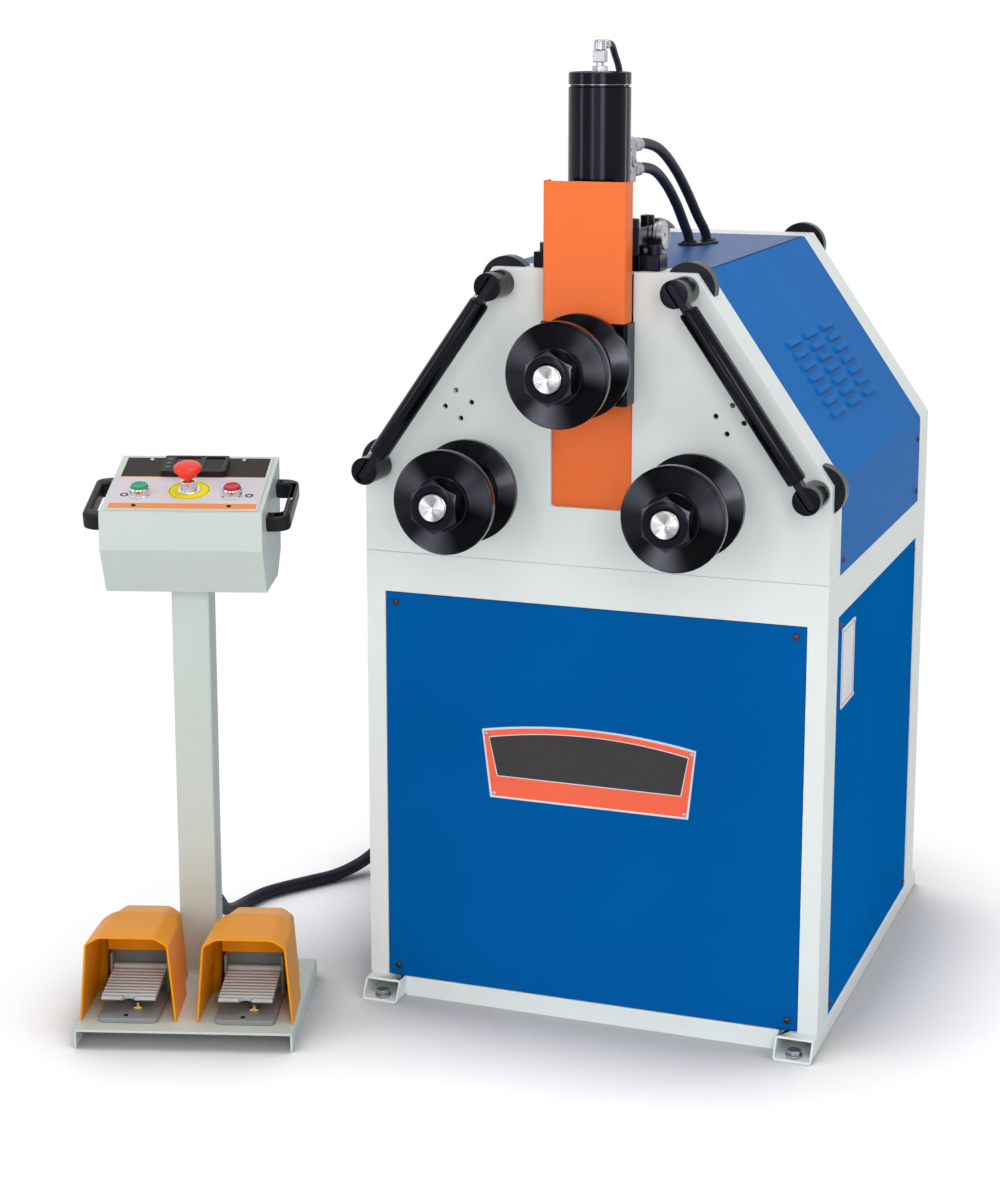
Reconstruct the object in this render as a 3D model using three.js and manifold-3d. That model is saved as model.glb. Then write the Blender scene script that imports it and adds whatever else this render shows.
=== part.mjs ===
// Hydraulic roll bender: three driven and pressed rolls on a welded cabinet, with a separate control stand.
// Millimetres, +Z up. X = 0 is the machine's centre plane, Y = 0 its front face, Z = 0 the floor.

import * as THREE from "three";
import { mergeVertices } from "three/addons/utils/BufferGeometryUtils.js";
import Module from "manifold-3d";

const wasm = await Module();
wasm.setup();

// Clearances
const SEAT = 0.3; // between pieces that rest on each other
const RUN = 0.7; // round a piece that turns or slides
const OVERRUN = 4; // how far a cut runs past what it cuts

// Cabinet outline
const CAB_W = 731;
const CAB_D = 755;
const SEAM_Z = 727; // joint between the lower frame and the upper housing
const HOUSING_SIDE_H = 145.6; // upright part of the housing above the seam
const SLOPE_H = 300.9; // height of its sloping part
const TOP_W = 313;

// Lower frame
const POST_W = 31;
const POST_D = 72;
const TUBE_WALL = 3;
const TOP_RAIL_H = 63.5;
const FOOT_RAIL_T = 12;
const SKID_W = 60;
const SKID_H = 32;
const SKID_WALL = 3.5;
const SKID_OUT = 40; // reach in front of and behind the cabinet
const SKID_MITRE = 20;
const SKID_CORNER = 5;
const FLOOR_T = 4;
const FLOOR_MARGIN = 20;

// Upper housing
const PLATE_T = 8; // front roll plate, also the thickness of the front top rail
const REAR_PLATE_T = 6;
const BAND_T = 5;
const SLOT_W = 126.7;
const SLOT_DROP = 27; // below the axes of the lower rolls
const SLOT_CORNER = 7;
const HOLE_R = 4;
const HOLE_X = 211.9; // middle of each group of four small holes
const HOLE_RISE = 119.9; // above the axes of the lower rolls
const HOLE_STEP = 30.6; // spacing of the four holes
const HOLE_TILT = 0.6; // radians
const ROD_OPENING = 63;

// Sheet panels
const PANEL_T = 2;
const PANEL_GAP = 0.9;
const PANEL_RECESS = 1.5;
const PANEL_DEPTH = 15;
const LOUVRE_L = 85;
const LOUVRE_W = 12;
const LOUVRE_H = 5;
const LOUVRE_WALL = 1.2;
const LOUVRE_ROWS = 7;
const LOUVRE_COLUMNS = 3;
const LOUVRE_ROW_STEP = 21;
const LOUVRE_COLUMN_STEP = 114;
const LOUVRE_FIRST = 82; // up the slope from the shoulder
const LOUVRE_SHIFT = 12.5; // from the middle of the cabinet towards the front

// Rolls and shafts
const ROLL_D = 155;
const ROLL_W = 113;
const ROLL_HUB_D = 104;
const ROLL_FLANGE_T = 14;
const ROLL_TAPER = 4;
const ROLL_EDGE = 3;
const ROLL_BACK_Y = -50;
const ROLL_SPACING = 348.8;
const ROLL_RISE = 116.6; // axes of the lower rolls above the seam
const TOP_ROLL_RISE = 195.8; // top roll above the lower rolls
const SHAFT_R = 25;
const JOURNAL_R = 30;
const COLLAR_R = 34;
const THREAD_R = 20;
const TAIL_R = 22;
const NUT_AF = 70;
const NUT_H = 31;
const NUT_COLLAR_R = 41;
const NUT_COLLAR_H = 6;
const TIP_OUT = 5;
const TIP_EDGE = 1.5;
const HOUSING_R = 60;
const HOUSING_FLANGE_T = 12;
const HOUSING_NECK_R = 48;
const HOUSING_L = 62;

// Gear train
const MODULE = 8; // pitch diameter over number of teeth
const ROLL_TEETH = 25;
const PINION_TEETH = 20;
const PRESSURE_ANGLE = (20 * Math.PI) / 180;
const BACKLASH = 0.9;
const TOOTH_TOP_SHARE = 0.9; // of the module, outside the pitch circle
const TOOTH_ROOT_SHARE = 1.25; // of the module, inside the pitch circle
const GEAR_Y = 105;
const GEAR_T = 35;
const GEAR_HUB_R = 40;
const PINION_HUB_L = 9.7;
const INNER_PLATE_Y = 160;
const INNER_PLATE_T = 15;
const INNER_PLATE_MARGIN = 35.5; // to the cabinet's sides
const INNER_PLATE_TOP_MARGIN = 40; // to the slopes
const INNER_PLATE_DROP = 37; // below the seam
const INNER_PLATE_KNEE_RISE = 36.4; // above the axes of the lower rolls
const INNER_PLATE_RISE = 166.4;
const SPACER_R = 15;
const SPACER_INSET = 25;
const LOW_SPACER_DROP = 73.6;
const TAIL_HOUSING_R = 45;
const TAIL_HOUSING_L = 25;
const GEARBOX_W = 140;
const GEARBOX_D = 120;
const GEARBOX_H = 160;
const GEARBOX_CORNER = 20;
const GEARBOX_BOSS_R = 34;
const MOTOR_R = 68;
const MOTOR_L = 205;
const MOTOR_CAP_L = 45;
const MOTOR_CAP_R = 60;

// Carriage
const BLOCK_DROP = 59.4; // below the axis of the top roll
const BLOCK_H = 121;
const BLOCK_HEAD_W = 134;
const BLOCK_HEAD_OUT = 42;
const BLOCK_EDGE = 4;
const BLOCK_W = 132; // behind the plate
const BLOCK_BACK_Y = 85;
const SLIDE_GAP = 1.5;
const GUIDE_T = 29.5;
const GUIDE_LIP = 46; // how far each lip reaches round the back
const GUIDE_LIP_T = 11.5;
const GUIDE_DROP = 53.6; // below the axes of the lower rolls
const GUIDE_TOP_GAP = 8.5;
const COVER_T = 2;
const LOWER_COVER_L = 174;
const LOWER_COVER_FLANGE = 50;
const UPPER_COVER_W = 127.5;
const UPPER_COVER_OUT = 40;
const UPPER_COVER_D = 32;
const UPPER_COVER_H = 204.7;
const UPPER_COVER_BEND = 3;

// Cylinder
const CYL_R = 46;
const CYL_Y = 30;
const CYL_H = 223.7;
const CYL_BORE_R = 36;
const CYL_CAP_T = 24;
const CYL_GROOVE_DROP = 20;
const CYL_GROOVE_W = 4;
const CYL_GROOVE_D = 2.5;
const ROD_R = 25;
const PISTON_H = 26;
const PISTON_HEADROOM = 11;
const FLANGE_BASE_T = 23.2;
const FLANGE_H = 40;
const FLANGE_W = 140;
const FLANGE_NOSE_W = 96;
const FLANGE_FRONT_Y = -22;
const FLANGE_SHOULDER_Y = 4;
const FLANGE_BACK_Y = 110;
const FLANGE_FOOT_FRONT_Y = 10;
const FLANGE_WING_W = 196;
const FLANGE_WING_FRONT_Y = 16;
const FLANGE_WING_BACK_Y = 60;
const BOLT_HEAD_R = 11;
const BOLT_HEAD_H = 14;
const BOLT_INSET = 15;
const BOLT_SOCKET_R = 6;

// Hydraulic parts
const VALVE_W = 52;
const VALVE_D = 54;
const VALVE_H = 65;
const VALVE_FOOT_W = 36;
const VALVE_FOOT_D = 24;
const VALVE_FOOT_H = 58.7;
const VALVE_EDGE = 4;
const PORT_X = 16.5;
const HIGH_PORT_RISE = 54; // above the underside of the valve
const LOW_PORT_RISE = 17;
const FERRULE_NUT_R = 12.7;
const FERRULE_NUT_L = 14;
const FERRULE_R = 10.5;
const FERRULE_L = 26;
const HOSE_R = 8;
const HOSE_SIDES = 8;
const HOSE_STEPS = 15;
const BLEED_HOSE_R = 5;
const ENTRY_T = 4;
const ENTRY_R = 19;
const FAR_ENTRY_X = 37.5;
const FAR_ENTRY_BACK = 260; // from the cabinet's rear face
const NEAR_ENTRY_X = 19.5;
const NEAR_ENTRY_BACK = 304;
const BLEED_NUT_R = 11.5;
const BLEED_NUT_H = 8;
const BLEED_BLOCK_W = 18;
const BLEED_BLOCK_H = 17;
const BLEED_STEM_R = 6;
const BLEED_STEM_H = 5;
const BLEED_ELBOW_R = 9;
const BLEED_ELBOW_L = 32;
const BLEED_CUFF_R = 7;
const GAUGE_Y = 88;
const GAUGE_RISE = 25; // above the wings of the flange
const GAUGE_R = 22.5;
const GAUGE_BODY_R = 19;
const GAUGE_T = 16;
const GAUGE_RIM_T = 10;
const GAUGE_RIM_W = 2;
const GAUGE_RECESS = 3;
const TANK_W = 280;
const TANK_D = 220;
const TANK_H = 220;
const TANK_SIDE_MARGIN = 75.5; // to the cabinet's left side
const TANK_BACK_MARGIN = 105;
const TANK_CORNER = 20;
const TANK_LID_T = 6;
const TANK_LID_LIP = 8;
const PUMP_R = 65;
const PUMP_H = 152;
const PUMP_CAP_R = 58.5;
const PUMP_CAP_H = 38;

// Side bars
const BAR_R = 15;
const BAR_GAP = 29; // from a peg's axis to the end of the round bar
const TONGUE_W = 12;
const TONGUE_T = 22;
const TONGUE_OVER = 16;
const PEG_HEAD_R = 21;
const PEG_HEAD_OUT = 62;
const PEG_SLOT_D = 28;
const PEG_EDGE = 2;
const PEG_SHANK_R = 10;
const PEG_SHANK_END_Y = 50;
const LOW_PEG_INSET = 23.3; // from the cabinet's side
const LOW_PEG_DROP = 10.3; // below the shoulder
const HIGH_PEG_INSET = 14.1; // from the end of the top edge
const HIGH_PEG_DROP = 23.5; // below the top
const DISC_R = 39;
const DISC_T = 25;
const DISC_Y = 19;
const DISC_SLOT_GAP = 2;
const REAR_DISC_INSET = 23;
const REAR_DISC_OUT = 9;
const REAR_DISC_T = 22;
const REAR_STUB_IN = 5;

// Control stand
const STAND_X = -586;
const STAND_Y = -171.7;
const STAND_TURN = (17.5 * Math.PI) / 180;
const BASE_W = 335;
const BASE_D = 300;
const BASE_H = 30;
const BASE_T = 4;
const BASE_BEND = 6;
const STAND_POST_W = 60;
const STAND_POST_X = -14;
const STAND_POST_V = 114;
const STAND_POST_CORNER = 5;
const BOX_W = 251;
const BOX_D = 200;
const BOX_FOOT_D = 120;
const BOX_LOW_Z = 666;
const BOX_FRONT_KNEE_Z = 740;
const BOX_REAR_KNEE_Z = 703;
const BOX_FRONT_TOP_Z = 798;
const BOX_REAR_TOP_Z = 851;
const BOX_WALL = 2.5;
const WINDOW_W = 226;
const WINDOW_D = 178;
const DECK_W = 236;
const DECK_D = 190;
const DECK_T = 2;
const DECK_CORNER = 5;
const CABLE_HOLE_R = 16;
const DISPLAY_W = 102;
const DISPLAY_D = 80;
const DISPLAY_H = 12;
const DISPLAY_V = 60;
const DISPLAY_CORNER = 5;
const DISPLAY_RIM = 7;
const DISPLAY_RECESS = 3;
const BUTTON_X = 72;
const BUTTON_V = -42;
const BEZEL_R = 16;
const BEZEL_H = 13.7;
const BEZEL_FOOT_R = 18;
const BEZEL_FOOT_H = 3;
const CAP_R = 12.7;
const CAP_H = 13;
const CAP_PROUD = 4;
const CAP_EDGE = 1.5;
const STEM_R = 5;
const STEM_L = 24;
const STOP_X = 2;
const STOP_V = -27;
const STOP_COLLAR_R = 13;
const STOP_COLLAR_H = 22;
const STOP_COLLAR_FOOT_R = 18;
const STOP_NECK_R = 12;
const STOP_HEAD_R = 21;
const STOP_HEAD_H = 50;
const STOP_TRAVEL = 6;
const HANDLE_OUT = 36;
const HANDLE_L = 140;
const HANDLE_BAR = 12;
const HANDLE_ARM = 18;
const HANDLE_H = 26;
const HANDLE_DROP = 35;
const HANDLE_CORNER = 12;

// Pedals
const PEDAL_X = 90;
const GUARD_WALL = 3.5;
const GUARD_FRONT_V = -116;
const GUARD_STEP_V = -10;
const GUARD_NECK_V = 12;
const GUARD_BACK_V = 74;
const GUARD_W = 150;
const GUARD_H = 136;
const PEDAL_BASE_W = 93;
const PEDAL_BASE_FRONT_V = -123;
const PEDAL_BASE_T = 8;
const PEDAL_BASE_CORNER = 12;
const SWITCH_FRONT_V = 4;
const SWITCH_BACK_V = 60;
const SWITCH_H = 62;
const EAR_T = 4;
const EAR_FRONT_V = -18;
const HINGE_V = -8;
const HINGE_Z = 76;
const HINGE_R = 6;
const HINGE_PIN_R = 3;
const TREAD_L = 100;
const TREAD_T = 7;
const TREAD_SLOPE = (5 * Math.PI) / 180;
const TREAD_RIBS = 9;
const TREAD_RIB_H = 2;
const TREAD_NOTCH_R = 11;
const TREAD_TRAVEL = (8 * Math.PI) / 180;
const STOP_PIN_R = 4;
const STOP_PIN_X = 10;
const STOP_PIN_V = -85;

// Control cord
const CORD_R = 11;
const CORD_SIDES = 8;
const CORD_STEPS = 32;
const GLAND_R = 20;
const GLAND_NUT_L = 16;
const GLAND_L = 42;
const GLAND_MOUTH_R = 13;
const CABINET_GLAND_BACK = 155; // from the cabinet's rear face
const CABINET_GLAND_Z = 140;
const STAND_GLAND_Z = 95;
// The cord's route, laid by hand: at each point the shares of the way across and back from the
// stand's gland to the cabinet's, and of the cabinet gland's height above the cord's rest on the floor
const CORD_SHARES = [
  [-0.06, 0.085, 0.596],
  [-0.133, 0.16, 0.425],
  [-0.193, 0.234, 0.207],
  [-0.227, 0.321, 0.052],
  [-0.231, 0.411, 0.001],
  [-0.188, 0.498, 0],
  [-0.094, 0.57, 0],
  [0.03, 0.645, 0],
  [0.163, 0.723, 0.009],
  [0.299, 0.797, 0.114],
  [0.436, 0.863, 0.34],
  [0.582, 0.924, 0.596],
  [0.736, 0.965, 0.814],
  [0.881, 0.991, 0.955],
];

// Shares of the way across, back and down that a pressure hose has gone at each of its points
const HIGH_HOSE_SHARES = [
  [0, 0, 0],
  [0, 0.1, 0],
  [0.19, 0.306, 0.07],
  [0.38, 0.522, 0.255],
  [0.62, 0.707, 0.499],
  [0.81, 0.867, 0.742],
  [1, 1, 0.861],
  [1, 1, 1],
];
const LOW_HOSE_SHARES = [
  [0, 0, 0],
  [0, 0.114, 0],
  [0, 0.326, 0.066],
  [0, 0.551, 0.251],
  [0, 0.754, 0.509],
  [1, 0.943, 0.764],
  [1, 1, 0.882],
  [1, 1, 1],
];
// Each section of a pedal guard from front to back: shares of its front width and height
const GUARD_SHARES = [
  [1, 1],
  [0.96, 0.97],
  [0.82, 0.95],
  [0.8, 0.85],
];
const GUARD_KNEE_SHARE = 0.07; // of the width, where its sides meet the bevel
const GUARD_BEVEL_SHARE = 0.21; // of the width, where the bevel meets the top
const GUARD_DROP_SHARE = 0.09; // of the height that the bevel falls
// The head of the emergency button: shares of its radius and height
const STOP_HEAD_SHARES = [
  [0.6, 0.4],
  [0.97, 0.5],
  [1, 0.62],
  [0.94, 0.8],
  [0.68, 0.95],
];

// Facet counts
const COARSE = 10;
const ROUND = 16;
const FINE = 32;
const HEXAGON = 6;
const FILLET_STEPS = 3;

// Worked out from the sizes above
const HALF_W = CAB_W / 2;
const TOP_HALF_W = TOP_W / 2;
const HOUSING_LOW_Z = SEAM_Z + SEAT;
const SHOULDER_Z = SEAM_Z + HOUSING_SIDE_H;
const TOP_Z = SHOULDER_Z + SLOPE_H;
const PLATE_BACK_Y = PLATE_T + SEAT;
const ROLL_FRONT_Y = ROLL_BACK_Y - ROLL_W;
const ROLL_X = ROLL_SPACING / 2;
const ROLL_Z = SEAM_Z + ROLL_RISE;
const TOP_ROLL_Z = ROLL_Z + TOP_ROLL_RISE;
const GEAR_DISTANCE = (MODULE * (ROLL_TEETH + PINION_TEETH)) / 2;
const PINION_Z = ROLL_Z - Math.sqrt(GEAR_DISTANCE ** 2 - ROLL_X ** 2);
const BLOCK_LOW_Z = TOP_ROLL_Z - BLOCK_DROP;
const BLOCK_HIGH_Z = BLOCK_LOW_Z + BLOCK_H;
const FLANGE_LOW_Z = TOP_Z + SEAT;
const FLANGE_MIDDLE_Z = FLANGE_LOW_Z + FLANGE_BASE_T;
const FLANGE_HIGH_Z = FLANGE_MIDDLE_Z + FLANGE_H;
const CYL_LOW_Z = FLANGE_HIGH_Z + SEAT;
const CYL_HIGH_Z = CYL_LOW_Z + CYL_H;
const PISTON_HIGH_Z = CYL_HIGH_Z - CYL_CAP_T - PISTON_HEADROOM;
const VALVE_LOW_Z = CYL_LOW_Z + VALVE_FOOT_H;
const VALVE_Y = CYL_Y + CYL_R + SEAT;
const FERRULE_Y = VALVE_Y + VALVE_D;
const HOSE_Y = FERRULE_Y + FERRULE_NUT_L + FERRULE_L + SEAT;
const TANK_X = TANK_SIDE_MARGIN + TANK_W / 2 - HALF_W;
const TANK_Y = CAB_D - TANK_BACK_MARGIN - TANK_D / 2;
const FLOOR_HIGH_Z = SKID_H + FLOOR_T;
const BOX_TOP_Z = (BOX_FRONT_TOP_Z + BOX_REAR_TOP_Z) / 2;
const DECK_SLOPE = Math.atan((BOX_REAR_TOP_Z - BOX_FRONT_TOP_Z) / BOX_D);
const DECK_LOW = SEAT;
const DECK_TOP = DECK_LOW + DECK_T;
const slope = new THREE.Vector2(TOP_HALF_W - HALF_W, TOP_Z - SHOULDER_Z).normalize();

// From shapes to solids

// A closed geometry as a solid, with its faces turned outwards.
function solidOf(geometry) {
  const bare = geometry.index ? geometry.toNonIndexed() : geometry;
  bare.deleteAttribute("normal");
  bare.deleteAttribute("uv");
  const merged = mergeVertices(bare);
  const corners = Array.from(merged.index.array);
  const faces = [];
  while (corners.length) {
    const face = corners.splice(0, 3);
    if (new Set(face).size === 3) faces.push(face);
  }
  const build = (list) => {
    const vertProperties = merged.attributes.position.array;
    const triVerts = new Uint32Array(list.flat());
    return new wasm.Manifold(new wasm.Mesh({ numProp: 3, vertProperties, triVerts }));
  };
  const solid = build(faces);
  if (solid.volume() > 0) return solid;
  return build(faces.map(([a, b, c]) => [a, c, b]));
}

const join = (...solids) => wasm.Manifold.union(solids.flat());
const cut = (solid, ...tools) => solid.subtract(join(...tools));
const bothSides = (make) => join(make(-1), make(1));

// A box between low and high limits on each axis.
function block(x, y, z) {
  const ranges = [x, y, z];
  const size = ranges.map(([low, high]) => Math.abs(high - low));
  const middle = ranges.map(([low, high]) => (low + high) / 2);
  return solidOf(new THREE.BoxGeometry(...size).translate(...middle));
}

// The corners of a rectangle.
function rectangle([left, right], [low, high]) {
  return [
    [left, low],
    [right, low],
    [right, high],
    [left, high],
  ];
}

// A polygon as a shape, its corners rounded off over the given length.
function shapeOf(points, corner = 0) {
  const shape = new THREE.Shape();
  points.forEach((point, i) => {
    const here = new THREE.Vector2(...point);
    const before = new THREE.Vector2(...points.at(i - 1));
    const after = new THREE.Vector2(...points[(i + 1) % points.length]);
    const start = here.clone().add(before.sub(here).setLength(corner));
    const end = here.clone().add(after.sub(here).setLength(corner));
    if (i === 0) shape.moveTo(start.x, start.y);
    else shape.lineTo(start.x, start.y);
    if (corner) shape.quadraticCurveTo(here.x, here.y, end.x, end.y);
  });
  shape.closePath();
  return shape;
}

const AXES = {
  x: new THREE.Vector3(1, 0, 0),
  y: new THREE.Vector3(0, 1, 0),
  z: new THREE.Vector3(0, 0, 1),
};
// An outline is drawn in Y and Z for a plate across X, X and Z across Y, X and Y across Z.
const DRAWN = {
  x: new THREE.Matrix4().makeBasis(AXES.y, AXES.z, AXES.x),
  y: new THREE.Matrix4().makeBasis(AXES.x, AXES.z, AXES.y.clone().negate()),
  z: new THREE.Matrix4(),
};

// A plate of the outline's shape between two places on an axis.
function plate(axis, outline, one, other) {
  const shape = Array.isArray(outline) ? shapeOf(outline) : outline;
  const from = Math.min(one, other);
  const depth = Math.abs(other - one);
  const options = { depth, bevelEnabled: false, curveSegments: FILLET_STEPS };
  const geometry = new THREE.ExtrudeGeometry(shape, options).applyMatrix4(DRAWN[axis]);
  const start = axis === "y" ? from + depth : from;
  return solidOf(geometry.translate(...AXES[axis].clone().multiplyScalar(start).toArray()));
}

// A revolved profile of [radius, place] pairs round an axis through a point.
function turned(axis, at, profile, sides = ROUND) {
  const points = profile.map(([radius, place]) => new THREE.Vector2(radius, place));
  const geometry = new THREE.LatheGeometry(points, sides);
  if (axis === "x") geometry.rotateZ(-Math.PI / 2);
  if (axis === "z") geometry.rotateX(Math.PI / 2);
  return solidOf(geometry.translate(...at));
}

const disc = (radius, from, to) => [
  [0, from],
  [radius, from],
  [radius, to],
  [0, to],
];

// The outline moved inwards by a wall; hand is 1 where inwards is to the left of the way along it.
function inset(points, wall, closed, hand = 1) {
  const last = points.length - 1;
  const way = (i) => {
    const from = new THREE.Vector2(...points.at(i));
    const to = new THREE.Vector2(...points[(i + 1) % points.length]);
    const along = to.sub(from).normalize();
    return new THREE.Vector2(-along.y * hand, along.x * hand);
  };
  return points.map(([x, y], i) => {
    const next = !closed && i === last ? way(i - 1) : way(i);
    const previous = !closed && i === 0 ? way(i) : way(i - 1);
    const middle = next.clone().add(previous).normalize();
    const reach = wall / middle.dot(next);
    return [x + middle.x * reach, y + middle.y * reach];
  });
}

// A stripe of the given width round a line between two points.
function stripe(from, to, width, over = 0) {
  const a = new THREE.Vector2(...from);
  const b = new THREE.Vector2(...to);
  const along = b.clone().sub(a).normalize();
  const across = new THREE.Vector2(-along.y, along.x).multiplyScalar(width / 2);
  a.addScaledVector(along, -over);
  b.addScaledVector(along, over);
  const corners = [a.clone().add(across), b.clone().add(across), b.sub(across), a.sub(across)];
  return corners.map((corner) => corner.toArray());
}

// A round tube along a smooth line through the points.
function tube(points, radius, sides, steps) {
  const section = new THREE.Shape();
  for (let i = 0; i < sides; i += 1) {
    const angle = (2 * Math.PI * i) / sides;
    const place = [radius * Math.cos(angle), radius * Math.sin(angle)];
    if (i === 0) section.moveTo(...place);
    else section.lineTo(...place);
  }
  const extrudePath = new THREE.CatmullRomCurve3(points.map((p) => new THREE.Vector3(...p)));
  return solidOf(new THREE.ExtrudeGeometry(section, { steps, extrudePath, bevelEnabled: false }));
}

// A solid through rings of as many points each, closed at both ends.
function loft(rings) {
  const count = rings[0].length;
  const index = [];
  rings.slice(1).forEach((ring, k) => {
    ring.forEach((point, i) => {
      const next = (i + 1) % count;
      const a = k * count + i;
      const b = k * count + next;
      const c = (k + 1) * count + next;
      const d = (k + 1) * count + i;
      index.push(a, b, c, a, c, d);
    });
  });
  const last = (rings.length - 1) * count;
  for (let i = 1; i < count - 1; i += 1) {
    index.push(0, i + 1, i);
    index.push(last, last + i, last + i + 1);
  }
  const geometry = new THREE.BufferGeometry();
  geometry.setAttribute("position", new THREE.Float32BufferAttribute(rings.flat(2), 3));
  geometry.setIndex(index);
  return solidOf(geometry);
}

// Finishes
const finish = (color, roughness, metalness) => ({ color, roughness, metalness });
const WHITE = finish("#d9dfde", 0.45, 0.1);
const BLUE = finish("#0d62ab", 0.45, 0.1);
const ORANGE = finish("#f67c46", 0.45, 0.1);
const BLACK_STEEL = finish("#16161b", 0.25, 0.8);
const STEEL = finish("#a7a9ad", 0.35, 0.9);
const ZINC = finish("#c6c8cc", 0.3, 0.9);
const CASTING = finish("#74777c", 0.6, 0.4);
const GREY_PAINT = finish("#c3c8c2", 0.5, 0.1);
const SAFETY_YELLOW = finish("#ee9f2a", 0.5, 0.1);
const BLACK_PLASTIC = finish("#1d1d20", 0.5, 0);
const RUBBER = finish("#2a2a32", 0.7, 0);
const RED = finish("#e8402f", 0.4, 0);
const GREEN = finish("#2aa06c", 0.4, 0);
const DARK_RED = finish("#c41f2f", 0.4, 0);

const root = new THREE.Group();
const stand = new THREE.Group();
const deck = new THREE.Group();

// Puts a solid into the assembly as a named mesh.
function add(name, solid, look, parent = root) {
  const mesh = solid.getMesh();
  const geometry = new THREE.BufferGeometry();
  geometry.setAttribute("position", new THREE.Float32BufferAttribute(mesh.vertProperties, 3));
  geometry.setIndex(Array.from(mesh.triVerts));
  geometry.computeVertexNormals();
  const piece = new THREE.Mesh(geometry, new THREE.MeshStandardMaterial(look));
  piece.name = name;
  parent.add(piece);
  return piece;
}

// Lower frame

function skids() {
  return bothSides((side) => {
    const across = [side * HALF_W, side * (HALF_W - SKID_W)];
    const past = [side * (HALF_W + OVERRUN), side * (HALF_W - SKID_W - OVERRUN)];
    const hollow = [side * (HALF_W - SKID_WALL), side * (HALF_W - SKID_W + SKID_WALL)];
    const ends = [-SKID_OUT, CAB_D + SKID_OUT];
    const outside = plate("y", shapeOf(rectangle(across, [0, SKID_H]), SKID_CORNER), ...ends);
    const inside = rectangle(hollow, [SKID_WALL, SKID_H - SKID_WALL]);
    const bore = plate("y", inside, -SKID_OUT - OVERRUN, CAB_D + SKID_OUT + OVERRUN);
    const mitres = ends.map((end, i) => {
      const back = i ? -1 : 1;
      const wedge = [
        [end, 0],
        [end + back * SKID_MITRE, SKID_H],
        [end + back * SKID_MITRE, SKID_H + OVERRUN],
        [end - back * OVERRUN, SKID_H + OVERRUN],
        [end - back * OVERRUN, 0],
      ];
      return plate("x", wedge, ...past);
    });
    return cut(outside, bore, ...mitres);
  });
}

function framePosts() {
  const corners = [0, CAB_D - POST_D].map((y) =>
    bothSides((side) => {
      const x = [side * (HALF_W - POST_W), side * HALF_W];
      const hollow = [side * (HALF_W - POST_W + TUBE_WALL), side * (HALF_W - TUBE_WALL)];
      const outer = block(x, [y, y + POST_D], [SKID_H, SEAM_Z]);
      const inner = [y + TUBE_WALL, y + POST_D - TUBE_WALL];
      return cut(outer, block(hollow, inner, [SKID_H - OVERRUN, SEAM_Z + OVERRUN]));
    }),
  );
  return join(corners);
}

function frameRails() {
  const between = [-HALF_W + POST_W, HALF_W - POST_W];
  const feet = [-HALF_W + SKID_W, HALF_W - SKID_W];
  const high = [SEAM_Z - TOP_RAIL_H, SEAM_Z];
  const front = block(between, [0, PLATE_T], high);
  const rear = block(between, [CAB_D - PLATE_T, CAB_D], high);
  const sides = bothSides((side) =>
    block([side * (HALF_W - FOOT_RAIL_T), side * HALF_W], [POST_D, CAB_D - POST_D], high),
  );
  const frontFoot = block(feet, [0, FOOT_RAIL_T], [0, SKID_H]);
  const rearFoot = block(feet, [CAB_D - FOOT_RAIL_T, CAB_D], [0, SKID_H]);
  return join(front, rear, sides, frontFoot, rearFoot);
}

// The plate that carries the power pack, welded across the skids.
function floorPlate() {
  const reach = HALF_W - POST_W - PANEL_T;
  const y = [FLOOR_MARGIN, CAB_D - FLOOR_MARGIN];
  return block([-reach, reach], y, [SKID_H - SEAT, FLOOR_HIGH_Z]);
}

// Upper housing

// The open line round the housing from the right foot over the top to the left foot.
const housingLine = () => [
  [HALF_W, HOUSING_LOW_Z],
  [HALF_W, SHOULDER_Z],
  [TOP_HALF_W, TOP_Z],
  [-TOP_HALF_W, TOP_Z],
  [-HALF_W, SHOULDER_Z],
  [-HALF_W, HOUSING_LOW_Z],
];

// Where the pegs of a side bar stand: the low one, then the high one.
const pegPlaces = (side) => [
  [side * (HALF_W - LOW_PEG_INSET), SHOULDER_Z - LOW_PEG_DROP],
  [side * (TOP_HALF_W - HIGH_PEG_INSET), TOP_Z - HIGH_PEG_DROP],
];

// The strip that follows the housing's outline between two depths.
function housingBand(from, to) {
  const line = housingLine();
  return plate("y", [...line, ...inset(line, BAND_T, false).reverse()], from, to);
}

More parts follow.
